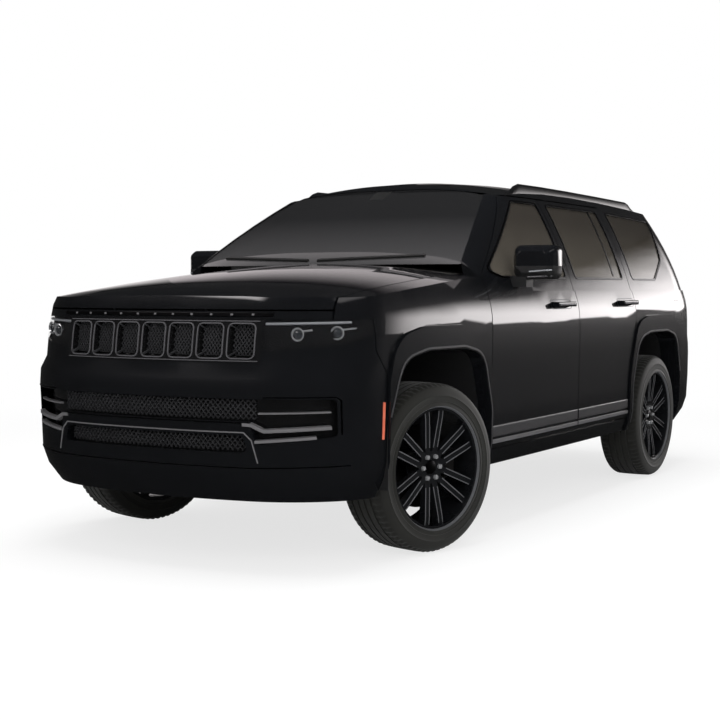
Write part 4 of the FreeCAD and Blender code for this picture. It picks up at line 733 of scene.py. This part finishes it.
# Each projector's place across, its height and how far it leans outward.
PROJECTORS = (("inner", 0.700, 1.060, 0.15), ("outer", 0.842, 1.066, 0.35))
PROJECTOR_SET = 0.016
COLLAR = [(0.021, -0.012), (0.031, 0.004), (0.028, 0.006), (0.022, 0.0)]
BULB_LENS = [(0.0, 0.009), (0.010, 0.0075), (0.018, 0.002), (0.022, -0.006)]
chrome = satin_metal("bright_chrome", ("#a9aaac", "#b8b9bb"), 0.12, metal=0.55)
lamp_face = surface_of("headlamps")
housing = joined_copy("headlamp_housings", "headlamps")
for v in housing.data.vertices:
    v.co.x -= HOUSING_SET
    v.co.y *= HOUSING_SHARE
even_normals(housing, 32)
finish_as(housing, "body", gloss_trim)
panel_skin("headlamps", lens_plastic("smoked_lamp_lens", ("#2a2a2c", "#343436"), 0.14))
guide = lit("lamp_light_guide", "#84868a", 0.03)
projector_glass = lens_plastic("projector_glass", ("#2c2e31", "#3d4044"), 0.9)
for side, sign, _ in SIDES:
    laid_strips(f"headlamp_guide_{side}", lamp_face, from_front, [mirrored(sign, GUIDE)], 0.012, -0.004,
                guide, sink=0.014)
    for name, y, z, lean in PROJECTORS:
        axis = Vector((1, sign * lean, 0)).normalized()
        base = lamp_face.ray_cast(*from_front(sign * y, z))[0] - axis * PROJECTOR_SET
        lathe(f"projector_collar_{name}_{side}", COLLAR, base, axis, 40, chrome)
        lathe(f"projector_lens_{name}_{side}", BULB_LENS, base, axis, 40, projector_glass)
        wing = [(y + 0.020, z + 0.016), (y + 0.058, z + 0.021)]
        laid_strips(f"projector_wing_{name}_{side}", lamp_face, from_front, [mirrored(sign, wing)], 0.010,
                    -0.004, chrome, step=0.01, sink=0.016)


# Side markers. A slim orange-red reflector on the bumper's corner, ahead of each flare, that glows with
# painted light.
def ribbed_lens(name, tones, glow):
    """A prismatic reflector: fine ribs under a clear skin, and a faint painted glow."""
    return coating(name, tones, 40.0, {"Roughness": 0.25, "Coat Weight": 1.0, "Coat Roughness": 0.03,
                                       "Emission Color": linear(tones[0]), "Emission Strength": glow},
                   CELLS, 350.0, bump=(0.4, 0.0006))


marker_lens_painted_glow = ribbed_lens("orange_marker_lens_painted_glow", ("#c25a42", "#d6745a"), 0.16)
# The red lens glows faintly too: on the tail lamps and brake light that is lamp light, on the rear reflectors
# it is a painted glow.
red_lens = ribbed_lens("red_reflector_lens", ("#7d0f12", "#951a1c"), 0.03)
MARKER = [(2.1125, 0.752), (2.1165, 0.585)]
for side, _, look in SIDES:
    laid_strips(f"side_marker_{side}", surface_of("fenders", "front_bumper"), look, [MARKER], 0.018, 0.004,
                marker_lens_painted_glow)


# Lower cladding. Grained dark plastic covers the foot of the doors, over a bright sill moulding, and
# edges each wheel opening.
def moulded_plastic(name, tones, rough, grain_mm, strength):
    """Injection-moulded plastic with the fine leather grain that its mould is etched with."""
    return coating(name, tones, 3.0, {"Roughness": rough}, CELLS, 1000 / grain_mm, bump=(strength, 0.0004))


WHEEL_RADIUS = 0.406
ARCH_HALF, ARCH_TOP, ARCH_FOOT = 0.5005, 0.9825, 0.40
ARCH_CORNERS = [(1.0, 0.42, 0.42), (0.79, 0.93, 0.36), (0.36, 1.0, 0.6)]


def arch_line(axle):
    """The rounded outline of a wheel opening in (x, z), from its rear foot to its front one.

    Each corner is in shares of the opening: out from the axle, up from it, and the radius.
    """
    corners = [(-out, up, radius) for out, up, radius in ARCH_CORNERS] + ARCH_CORNERS[::-1]
    ring = [(axle - ARCH_HALF, ARCH_FOOT)]
    ring += [(axle + out * ARCH_HALF, WHEEL_RADIUS + up * (ARCH_TOP - WHEEL_RADIUS))
             for out, up, _ in corners]
    ring = [Vector(p) for p in ring + [(axle + ARCH_HALF, ARCH_FOOT)]]
    result = [ring[0]]
    for before, here, after, (_, _, radius) in zip(ring, ring[1:], ring[2:], corners):
        a, b = before - here, after - here
        half_turn = (math.pi - a.angle(b)) / 2
        reach = min(radius * ARCH_HALF * math.tan(half_turn), 0.46 * min(a.length, b.length))
        result += bent(before, here, after, reach, 8)
    return result + [ring[-1]]


black_plastic = moulded_plastic("grained_black_plastic", ("#1a1a1b", "#212122"), 0.55, 1.6, 0.35)
cladding = moulded_plastic("grained_cladding", ("#2b2b2d", "#343436"), 0.42, 1.2, 0.2)
# The front and rear ends of each door's foot, and each arch's axle and panels.
DOOR_FEET = (("front", 1.062, -0.100), ("rear", -0.120, -0.968))
ARCHES = (("front", 1.590, ("fenders", "front_bumper")), ("rear", -1.534, ("body_sides",)))
for side, _, look in SIDES:
    for name, start, end in DOOR_FEET:
        door = f"door_{name}_{side}"
        laid_strips(f"door_cladding_{name}_{side}", surface_of(door), look, [[(start, 0.527), (end, 0.527)]],
                    0.070, 0.003, cladding, door)
        laid_strips(f"sill_moulding_{name}_{side}", surface_of(door), look, [[(start, 0.474), (end, 0.474)]],
                    0.026, 0.006, bright_satin, door)
for side, _, look in SIDES:
    for name, axle, nodes in ARCHES:
        laid_strips(f"arch_edge_{name}_{side}", surface_of(*nodes), look, [arch_line(axle)], 0.014, 0.002,
                    cladding)


# Door mirrors. A lacquered cap over a grained lower shell, split by a fine gap, with a light strip on
# its front edge and the silvered glass behind.
def lofted(name, rows):
    """A closed skin through rows of equally many points, with a cap at each end."""
    size = len(rows[0])
    last = size * (len(rows) - 1)
    faces = [(at + j, at + (j + 1) % size, at + size + (j + 1) % size, at + size + j)
             for at in range(0, last, size) for j in range(size)]
    faces += [tuple(range(size)), tuple(range(last + size - 1, last - 1, -1))]
    item = mesh_object(name, [p for row in rows for p in row], faces)
    outward(item)
    return item


mirror_lens = lens_plastic("mirror_lamp_lens", ("#8d8f93", "#a0a2a6"), 0.9)
silver = satin_metal("silvered_mirror_glass", ("#9fa3a6", "#aaadb0"), 0.03)
MIRROR_SPLIT_GAP = 0.004
PANE_OUT, PANE_IN = 0.003, 0.004
PANE = softened([(0.972, 1.326), (1.186, 1.326), (1.186, 1.478), (0.972, 1.478)], 0.035)
for side, sign, _ in SIDES:
    node, door = f"mirror_{side}", f"door_front_{side}"
    low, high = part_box(node)
    root, tip = sorted((abs(low.y), abs(high.y)))
    split = (low.z + high.z) / 2
    shell = panel_skin(node, body_paint)
    shell.data.materials.append(black_plastic)
    work = bmesh.new()
    work.from_mesh(shell.data)
    for z in (split, split - MIRROR_SPLIT_GAP):
        bmesh.ops.bisect_plane(work, geom=work.verts[:] + work.edges[:] + work.faces[:],
                               plane_co=(0, 0, z), plane_no=(0, 0, 1), dist=0.00001)
    for f in work.faces:
        f.material_index = 1 if f.calc_center_median().z < split else 0
    work.to_mesh(shell.data)
    work.free()
    even_normals(shell, 40)
    face = surface_of(node)
    lamp = [(root + 0.12, split - 0.030), (tip - 0.016, split - 0.022)]
    edge = [(root + 0.10, low.z + 0.052), (tip - 0.02, low.z + 0.058)]
    laid_strips(f"mirror_lamp_{side}", face, from_front, [mirrored(sign, lamp)], 0.010, 0.002, mirror_lens,
                door)
    laid_strips(f"mirror_lower_edge_{side}", face, from_front, [mirrored(sign, edge)], 0.008, 0.002,
                smoked_chrome, door)
    ring = mirrored(sign, PANE)
    spots = [face.ray_cast(*from_behind(y, z))[0] for y, z in ring]
    back = min(p.x for p in spots if p is not None)
    rows = [[(x, y, z) for y, z in ring] for x in (back - PANE_OUT, back + PANE_IN)]
    pane = lofted(f"mirror_glass_{side}", rows)
    finish_as(pane, door, silver)


# Door handles. Each pull has a satin insert, and a dark line edges the bowl behind it.
PULL_HEIGHT, BOWL_LOW, BOWL_HIGH, BOWL_RADIUS = 1.173, 1.148, 1.198, 0.024
for side, _, look in SIDES:
    for name, front_x in (("front", 0.278), ("rear", -0.793)):
        door = f"door_{name}_{side}"
        pull = [(front_x - 0.016, PULL_HEIGHT), (front_x - 0.244, PULL_HEIGHT)]
        start, end = front_x + 0.018, front_x - 0.278
        bowl = [(start, BOWL_LOW), (start, BOWL_HIGH), (end, BOWL_HIGH), (end, BOWL_LOW)]
        laid_strips(f"handle_insert_{name}_{side}", surface_of(door), look, [pull], 0.013, 0.0015,
                    smoked_chrome, door)
        laid_strips(f"handle_bowl_{name}_{side}", surface_of(door), look, [softened(bowl, BOWL_RADIUS)],
                    0.006, 0.001, dark_satin, door, closed=True)


# Roof rails. Low extruded bars in black with a crowned top, which taper down to the roof at both ends.
rail_face, roof_face = surface_of("roof_rails"), surface_of("roof_panel", "body_sides")
satin_black = moulded_plastic("satin_black_rail_coat", ("#0e0e0f", "#141415"), 0.3, 4.0, 0.05)
RAIL_SECTION = ((-1, 0), (-0.9, 0.72), (-0.6, 0.93), (0, 1), (0.6, 0.93), (0.9, 0.72), (1, 0))
RAIL_HALF, RAIL_SET, RAIL_SINK, RAIL_TAPER, END_SET = 0.015, 0.018, 0.006, 0.16, 0.004
RAIL_RISE, RAIL_STEPS = 0.72, 40
low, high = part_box("roof_rails")
for side, sign, _ in SIDES:
    y = sign * (high.y - RAIL_SET)
    stations = []
    for k in range(RAIL_STEPS + 1):
        x = low.x + END_SET + (high.x - low.x - 2 * END_SET) * k / RAIL_STEPS
        top, foot = (face.ray_cast(*from_above(x, y))[0] for face in (rail_face, roof_face))
        if top is None or foot is None:
            continue
        share = min(1.0, min(x - low.x, high.x - x) / RAIL_TAPER)
        rise = (top.z - foot.z) * RAIL_RISE * (share * share * (3 - 2 * share))
        stations.append([(x, y + sign * across * RAIL_HALF, foot.z - RAIL_SINK + (rise + RAIL_SINK) * up)
                         for across, up in RAIL_SECTION])
    rail = lofted(f"roof_rail_{side}", stations)
    even_normals(rail, 50)
    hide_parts("roof_rails")
    finish_as(rail, "body", satin_black)


# Tyres. A road tyre with five ribs, angled shoulder grooves, a rounded shoulder, a rim guard and two
# fine rings on the sidewall.
def wheel_place(axle, side):
    """Centre, outward axis and forward direction of a wheel, from its joint."""
    joint = next(j for j in frame["joints"] if j["name"] == f"wheel_{axle}_{side}_spin")
    axis = Vector(joint["axis"]).normalized() * (1 if side == "left" else -1)
    return Vector(joint["pos_m"]), axis, UP.cross(axis)


# Points of the section in (radius, place across), from the rim out over the sidewall and along the crown.
SIDEWALL = [
    (0.298, 0.1385), (0.303, 0.1382), (0.308, 0.1350), (0.316, 0.1340), (0.319, 0.1350), (0.3205, 0.1362),
    (0.322, 0.1350), (0.334, 0.1360), (0.346, 0.1368), (0.3475, 0.1380), (0.349, 0.1368), (0.360, 0.1352),
    (0.371, 0.1320), (0.379, 0.1290), (0.386, 0.1255), (0.3915, 0.1210), (0.3965, 0.1150), (0.4005, 0.1080)]
CROWN = [0.098, 0.088, 0.078, 0.069, 0.0685, 0.0595, 0.059, 0.048, 0.036, 0.026, 0.0255, 0.0165, 0.016, 0.008,
         0.0]
GROOVES, GROOVE_DEPTH = (0.0685, 0.0595, 0.0255, 0.0165), 0.0075
CROWN_HALF, CROWN_DROP = 0.124, 0.0028
PITCHES, PITCH_STEPS, TREAD_SLANT = 76, 4, 0.315
CUT_DEPTH, CUT_INNER, CUT_OUTER = 0.0055, 0.070, 0.122
CUT_RADIUS, TREAD_RADIUS = 0.3955, 0.39
rubber = coating("tyre_rubber", ("#1b1b19", "#272723"), 5.0,
                 {"Roughness": 0.62, "Specular IOR Level": 0.4, "Sheen Weight": 0.15},
                 NOISE, 45.0, {"Detail": 5.0}, bump=(0.25, 0.0006))
half = SIDEWALL + [
    (WHEEL_RADIUS - (y / CROWN_HALF) ** 2 * CROWN_DROP - (GROOVE_DEPTH if y in GROOVES else 0), y)
    for y in CROWN]
section = half + [(r, -y) for r, y in reversed(half[:-1])]
turns = PITCHES * PITCH_STEPS
WHEELS = [(axle, side) for axle in ("front", "rear") for side in ("left", "right")]
for axle, side in WHEELS:
    centre, axis, ahead = wheel_place(axle, side)
    vertices = []
    for k in range(turns):
        for r, y in section:
            cut = r > CUT_RADIUS and CUT_INNER < abs(y) < CUT_OUTER and k % PITCH_STEPS in (0, 1)
            a = 2 * math.pi * k / turns + (TREAD_SLANT * y if r > TREAD_RADIUS else 0)
            out = UP * math.cos(a) + ahead * math.sin(a)
            vertices.append(centre + axis * y + out * (r - (CUT_DEPTH if cut else 0)))
    tyre = mesh_object(f"road_tyre_{axle}_{side}", vertices, turned_faces(turns, len(section), closed=True))
    outward(tyre)
    smoothed(tyre, 38)
    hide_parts(f"tyre_{axle}_{side}")
    finish_as(tyre, f"wheel_{axle}_{side}", rubber)


# Wheels. Cast 22 inch rims in gloss black: six twin spokes with machined satin edges, a satin rim lip,
# six bright nuts round a plain dark cap, and behind them the brake disc.
def applied(item):
    """A new mesh with an object's modifiers applied."""
    return bpy.data.meshes.new_from_object(item.evaluated_get(bpy.context.evaluated_depsgraph_get()))


def ring_of_copies(name, shape, count, radius, material, seed=3):
    """Geometry Nodes that set copies of a small shape on a circle about local Z, made into a plain mesh."""
    group = bpy.data.node_groups.new(name, "GeometryNodeTree")
    values = {"Shape": shape, "Count": count, "Radius": radius, "Seed": seed, "Finish": material}
    for label, kind in zip(values, ("Object", "Int", "Float", "Int", "Material")):
        group.interface.new_socket(name=label, in_out="INPUT", socket_type="NodeSocket" + kind)
    group.interface.new_socket(name="Geometry", in_out="OUTPUT", socket_type="NodeSocketGeometry")
    given = add(group, "NodeGroupInput").outputs
    circle = add(group, "GeometryNodeMeshCircle", {"Vertices": given["Count"], "Radius": given["Radius"]})
    part = add(group, "GeometryNodeObjectInfo", {"Object": given["Shape"]})
    turn = add(group, "FunctionNodeRandomValue", {2: 0.0, 3: 1.0, "Seed": given["Seed"]}, data_type="FLOAT")
    spin = add(group, "ShaderNodeCombineXYZ", {"Z": turn.outputs[1]})
    copies = add(group, "GeometryNodeInstanceOnPoints", {
        "Points": circle.outputs[0], "Instance": part.outputs["Geometry"], "Rotation": spin.outputs[0]})
    real = add(group, "GeometryNodeRealizeInstances", {0: copies.outputs[0]})
    coated = add(group, "GeometryNodeSetMaterial", {"Geometry": real.outputs[0], "Material": given["Finish"]})
    add(group, "NodeGroupOutput", {0: coated.outputs[0]})
    holder = mesh_object(name + "_holder", [(0, 0, 0)], [])
    maker = holder.modifiers.new("ring", "NODES")
    maker.node_group = group
    for socket in group.interface.items_tree:
        if socket.in_out == "INPUT":
            maker[socket.identifier] = values[socket.name]
    bpy.context.view_layer.update()
    made = applied(holder)
    bpy.data.objects.remove(holder)
    return made


def nut_shape():
    """A domed wheel nut on its seat."""
    rings = ((0.0125, 0.0), (0.0125, 0.010), (0.010, 0.014), (0.004, 0.0165))
    vertices = [(radius * math.cos(2 * math.pi * i / 6), radius * math.sin(2 * math.pi * i / 6), z)
                for radius, z in rings for i in range(6)]
    faces = [(at + i, at + (i + 1) % 6, at + 6 + (i + 1) % 6, at + 6 + i)
             for at in (0, 6, 12) for i in range(6)]
    return mesh_object("nut_shape", vertices, faces + [tuple(range(18, 24))])


# The spokes' ends along a radius, how their spacing widens between these, and where the edges run.
SPOKE_ROOT, SPOKE_TIP = 0.0624, 0.288
SPOKE_SPREAD, ROOT_SHARE, TIP_SHARE = 0.034, 0.66, 1.5
EDGE_SET, EDGE_ENDS = 0.0135, (0.095, 0.270)


def spoke_edges():
    """Lines near both edges of each spoke of the six pairs, seen from outside the wheel."""
    lines = []
    for k in range(6):
        a = math.radians(60 * k)
        for sign in (1, -1):
            for shift in (-EDGE_SET, EDGE_SET):
                line = []
                for r in EDGE_ENDS:
                    share = (r - SPOKE_ROOT) / (SPOKE_TIP - SPOKE_ROOT)
                    across = sign * SPOKE_SPREAD * (ROOT_SHARE + (TIP_SHARE - ROOT_SHARE) * share) + shift
                    line.append((across * math.cos(a) - r * math.sin(a),
                                 across * math.sin(a) + r * math.cos(a)))
                lines.append(line)
    return lines


NUT_CIRCLE = 0.0572
RIM_LIP = [(0.2995, 0.1230), (0.3010, 0.1300), (0.2985, 0.1335), (0.2940, 0.1330), (0.2900, 0.1240),
           (0.2890, 0.1160)]
CAP = [(0.0, 0.014), (0.020, 0.0135), (0.031, 0.010), (0.035, 0.004), (0.035, -0.004)]
DISC = [(0.092, 0.0085), (0.1985, 0.0085), (0.1995, 0.0078)]
rim_black = lacquer("black_rim_lacquer", ("#0f1012", "#17181a"), 7.0)
machined = satin_metal("machined_spoke_edge", ("#626366", "#707174"), 0.3, metal=0.3)
turned_disc = satin_metal("turned_brake_disc", ("#4d4c4a", "#5a5957"), 0.35)
nut = nut_shape()
nut_ring = ring_of_copies("wheel_nut_ring", nut, 6, NUT_CIRCLE, chrome)
bpy.data.objects.remove(nut)
for axle, side in WHEELS:
    node, body = f"rim_{axle}_{side}", f"wheel_{axle}_{side}"
    panel_skin(node, rim_black, crease=28)
    centre, axis, ahead = wheel_place(axle, side)
    face = surface_of(node)

    def from_wheel(u, v):
        return centre + axis * 0.4 + ahead * u + UP * v, -axis

    def depth_at(u):
        """How far out the wheel's face stands at a distance from its axis."""
        return (face.ray_cast(*from_wheel(u, 0.0))[0] - centre).dot(axis)

    laid_strips(f"spoke_edges_{axle}_{side}", face, from_wheel, spoke_edges(), 0.0062, 0.0012, machined, body,
                step=0.02)
    for name, profile, place, around, material in (
            ("rim_lip", RIM_LIP, centre, 128, machined),
            ("wheel_cap", CAP, centre + axis * depth_at(0.0), 48, dark_satin),
            ("brake_disc", DISC, centre, 96, turned_disc)):
        lathe(f"{name}_{axle}_{side}", profile, place, axis, around, material, body)
    nuts = placed(f"wheel_nuts_{axle}_{side}", nut_ring.copy())
    seat = depth_at(NUT_CIRCLE * 0.99)
    for v in nuts.data.vertices:
        v.co = centre + axis * (seat + v.co.z) + ahead * v.co.x + UP * v.co.y
    nuts.data.polygons.foreach_set("use_smooth", [False] * len(nuts.data.polygons))
    outward(nuts)
    finish_as(nuts, body)


# Rear end. Ribbed red lamps with two light bars and a clear reversing band, a bright bar across the
# gate above a bare plate panel, a brake light at the top, a wiper on the pane, reflectors and cladding.
rear_face = surface_of("liftgate", "tail_lamps", "rear_bumper", "rear_glass")
panel_skin("tail_lamps", red_lens)
tail_face = surface_of("tail_lamps")
red_guide = lit("red_light_guide", "#c4161b", 0.35)
clear_band = lens_plastic("reversing_lamp_lens", ("#b9bbbf", "#d0d2d5"), 0.95)
wiper_black = moulded_plastic("wiper_rubber_and_arm", ("#161616", "#1f1f1f"), 0.6, 2.5, 0.2)
# Rows of name, panel, width, rise, material and the left side's paths.
TAIL_TRIM = (
    ("tail_lamp_bars", tail_face, 0.010, 0.002, red_guide,
     [[(0.832, 1.250), (0.836, 0.955)], [(0.868, 1.240), (0.873, 0.965)]]),
    ("reversing_lamp", tail_face, 0.040, 0.0015, clear_band, [[(0.822, 1.045), (0.900, 1.045)]]),
    ("rear_reflector", rear_face, 0.032, 0.003, red_lens, [[(0.640, 0.560), (0.800, 0.560)]]))
for side, sign, _ in SIDES:
    for name, face, width, rise, material, paths in TAIL_TRIM:
        laid_strips(f"{name}_{side}", face, from_behind, [mirrored(sign, path) for path in paths], width,
                    rise, material)
laid_strips("rear_cladding", rear_face, from_behind,
            [[(-0.86, 0.415), (-0.155, 0.415)], [(0.155, 0.415), (0.86, 0.415)]], 0.110, 0.003, cladding)
for name, half, z, width, rise, slot, material in (
        ("gate_bar", 0.76, 1.225, 0.026, 0.006, "gloss_trim", smoked_chrome),
        ("gate_plate_panel", 0.29, 1.075, 0.150, 0.0015, "dark_cladding", black_plastic),
        ("gate_brake_light", 0.19, 1.792, 0.018, 0.003, "tail_lens", red_lens)):
    laid_strips(name, surface_of("liftgate"), from_behind, [level(half, z)], width, rise, material,
                "liftgate")
laid_strips("rear_wiper", surface_of("rear_glass"), from_behind,
            [[(0.03, 1.325), (0.30, 1.362), (0.43, 1.380)], [(0.12, 1.362), (0.56, 1.372)]], 0.014, 0.012,
            wiper_black, "liftgate")
screen_face = surface_of("windscreen")
laid_strips("front_wipers", screen_face, from_front,
            [[(-0.66, 1.432), (-0.06, 1.410)], [(0.00, 1.410), (0.62, 1.432)]], 0.013, 0.010, wiper_black)
laid_strips("mirror_pod_on_screen", screen_face, from_front, [level(0.05, 1.80)], 0.07, 0.001, wiper_black)
FUEL_DOOR = softened([(-2.085, 1.035), (-2.085, 1.180), (-1.925, 1.180), (-1.925, 1.035)], 0.02)
laid_strips("fuel_door_gap", surface_of("body_sides"), from_left, [FUEL_DOOR], 0.004, 0.0004, wiper_black,
            closed=True)


# Roof antenna, a small fin, from stations of (place along it, half width, height).
FIN_PLACE, FIN_SINK = -2.06, 0.004
FIN_SECTION = ((-1, 0), (-0.55, 0.6), (-0.16, 0.94), (0, 1), (0.16, 0.94), (0.55, 0.6), (1, 0))
FIN_STATIONS = ((0.075, 0.004, 0.004), (0.045, 0.018, 0.012), (0.0, 0.024, 0.022), (-0.045, 0.021, 0.031),
                (-0.068, 0.008, 0.033))
foot = surface_of("roof_panel").ray_cast(*from_above(FIN_PLACE, 0.0))[0]
fin = lofted("roof_antenna_fin", [
    [(foot.x + along, half * a, foot.z - FIN_SINK + height * b) for a, b in FIN_SECTION]
    for along, half, height in FIN_STATIONS])
even_normals(fin, 50)
finish_as(fin, "body", body_paint)


# Seats. Ten pads in black perforated leather, blown up from slightly smaller blanks: the rows in front
# have single seats, the last one a bench. Sewn channels are pressed in afterwards.
def leather(name, tones):
    """Finished hide with a pebbled grain and rows of fine perforations."""
    material, tree, place = blank_material(name)
    grain = add(tree, CELLS, {"Vector": place, "Scale": 420.0})
    holes = add(tree, CELLS, {"Vector": place, "Scale": 130.0, "Randomness": 0.0})
    hole = add(tree, "ShaderNodeMapRange", {"Value": holes.outputs["Distance"], "From Min": 0.10,
                                            "From Max": 0.16})
    height = add(tree, "ShaderNodeMath", {0: grain.outputs["Distance"], 1: hole.outputs[0]},
                 operation="MULTIPLY")
    bump = add(tree, "ShaderNodeBump", {"Height": height.outputs[0], "Strength": 0.35, "Distance": 0.0008})
    drift = add(tree, NOISE, {"Vector": place, "Scale": 6.0, "Detail": 3.0})
    principled(tree, {"Base Color": blend_of(tree, drift.outputs["Fac"], tones), "Roughness": 0.48,
                      "Normal": bump.outputs[0]})
    return material


def solids_in(node):
    """The separate solids of a CAD node, front row first: points, faces, middle and size of each."""
    work = bmesh.new()
    work.from_mesh(frame["nodes"][node].data)
    bmesh.ops.remove_doubles(work, verts=work.verts, dist=0.00003)
    work.verts.index_update()
    left = set(work.verts)
    found = []
    while left:
        group, edge = set(), [left.pop()]
        while edge:
            v = edge.pop()
            group.add(v)
            near = {link.other_vert(v) for link in v.link_edges} & left
            left -= near
            edge += near
        order = {v: i for i, v in enumerate(sorted(group, key=lambda v: v.index))}
        points = [v.co.copy() for v in order]
        faces = [[order[v] for v in f.verts] for f in work.faces if f.verts[0] in group]
        low, high = (Vector([ends(p[k] for p in points) for k in range(3)]) for ends in (min, max))
        found.append((points, faces, (low + high) / 2, high - low))
    work.free()
    return sorted(found, key=lambda s: (-round(s[2].x, 2), -s[2].y))


BLANK_SHARE, VOXEL, PRESSURE, LAST_STEP = 0.955, 0.013, 4.0, 20


def blown_up(name, points, faces, middle, cap):
    """A blank, a little smaller than its solid, swollen by cloth simulation and capped."""
    blank = mesh_object(name, [middle + (p - middle) * BLANK_SHARE for p in points], faces)
    cells = blank.modifiers.new("cells", "REMESH")
    cells.mode = "VOXEL"
    cells.voxel_size = VOXEL
    bpy.context.view_layer.update()
    made = applied(blank)
    bpy.data.objects.remove(blank)
    pad = placed(name, made)
    before = [v.co.copy() for v in made.vertices]
    cloth = pad.modifiers.new("swell", "CLOTH")
    cloth.settings.use_pressure = True
    cloth.settings.uniform_pressure_force = PRESSURE
    cloth.settings.effector_weights.gravity = 0
    cloth.settings.quality = 5
    cloth.point_cache.frame_start, cloth.point_cache.frame_end = 1, LAST_STEP
    for step in range(1, LAST_STEP + 1):
        scene.frame_set(step)
    swollen = applied(pad)
    pad.modifiers.clear()
    for v, start, end in zip(made.vertices, before, swollen.vertices):
        move = end.co - start
        v.co = start + move * min(1.0, cap / max(move.length, 1e-9))
    bpy.data.meshes.remove(swollen)
    scene.frame_set(1)
    finer = pad.modifiers.new("finer", "SUBSURF")
    finer.levels = finer.render_levels = 1
    bpy.context.view_layer.update()
    smooth = applied(pad)
    pad.modifiers.clear()
    pad.data = smooth
    return pad


SEAM, BENCH_WIDTH = 0.006, 0.7
CROSS_SEAMS, SEAT_SEAMS, BENCH_SEAMS = (-0.26, 0.0, 0.26), (-0.31, 0.31), (-0.40, -0.02, 0.02, 0.40)


def sewn(pad, middle, size, across):
    """Presses sewn channels into a pad: lengthwise lines in y, and crosswise ones between the bolsters."""
    lines = SEAT_SEAMS if size.y < BENCH_WIDTH else BENCH_SEAMS

    def pressed(place, k, seams):
        return sum(math.exp(-((place - s) * size[k] / SEAM) ** 2) for s in seams)

    normals = [v.normal.copy() for v in pad.data.vertices]
    for v, n in zip(pad.data.vertices, normals):
        y, other = ((v.co[k] - middle[k]) / size[k] for k in (1, across))
        depth = pressed(y, 1, lines)
        if min(lines) < y < max(lines):
            depth += pressed(other, across, CROSS_SEAMS)
        v.co -= n * SEAM * min(depth, 1.0)


seat_leather = leather("black_perforated_leather", ("#1c1b1b", "#252423"))
# Each node's pads: their name, the axis along the pad and how far the cloth may swell.
PADS = (("seat_cushions", "seat_cushion", 0, 0.024), ("seat_backs", "seat_back", 2, 0.022))
for node, label, across, cap in PADS:
    shapes = {}
    for i, (points, faces, middle, size) in enumerate(solids_in(node)):
        name = f"{label}_{i + 1}"
        key = tuple(round(v, 2) for v in size)
        if key in shapes:
            source, at = shapes[key]
            pad = placed(name, source.data.copy())
            for v in pad.data.vertices:
                v.co += middle - at
        else:
            pad = blown_up(name, points, faces, middle, cap)
            sewn(pad, middle, size, across)
            shapes[key] = (pad, middle.copy())
        smoothed(pad)
        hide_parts(node)
        finish_as(pad, "body", seat_leather)


# Dashboard, floor and the vehicle's underside keep their CAD forms with finishes of their own. The
# displays are set on the dashboard's face.
display_glass = deep_gloss("display_glass", ("#08090b", "#0b0d10"), 0.08)
DISPLAYS = (("centre_display", -0.17, 0.17, 0.115), ("passenger_display", -0.62, -0.28, 0.085))
for name, start, end, width in DISPLAYS:
    laid_strips(name, surface_of("dashboard"), looking(0, 0.2, 1), [[(start, 1.165), (end, 1.165)]], width,
                0.003, display_glass, step=0.05)
soft_dash = moulded_plastic("soft_touch_dashboard", ("#1d1c1c", "#242322"), 0.7, 1.0, 0.4)
carpet = coating("loop_pile_carpet_and_coated_sheet", ("#191918", "#232221"), 4.0, {"Roughness": 0.95},
                 CELLS, 260.0, bump=(0.7, 0.002))
chassis_wax = moulded_plastic("waxed_chassis_steel", ("#191919", "#262422"), 0.5, 6.0, 0.2)
cast_metal = satin_metal("cast_aluminium_engine", ("#6b6b6c", "#7d7d7d"), 0.55)
dull_steel = satin_metal("dulled_exhaust_steel", ("#6a655e", "#807a70"), 0.42)
tank_plastic = moulded_plastic("blown_tank_plastic", ("#141414", "#1b1b1b"), 0.5, 8.0, 0.15)
STEEL_NODES = ("chassis_frame", "rear_frame", "tow_hitch", "tow_eye", "front_suspension", "rear_suspension",
               "knuckle_front_left", "knuckle_front_right")
DRESSED = {"dashboard": soft_dash, "floor_pan": carpet, "wheel_liners": black_plastic,
           "engine_block": cast_metal, "exhaust": dull_steel, "fuel_tank": tank_plastic,
           **{node: chassis_wax for node in STEEL_NODES}}
for node, material in DRESSED.items():
    slots = frame["nodes"][node].data.materials
    slots.clear()
    slots.append(material)
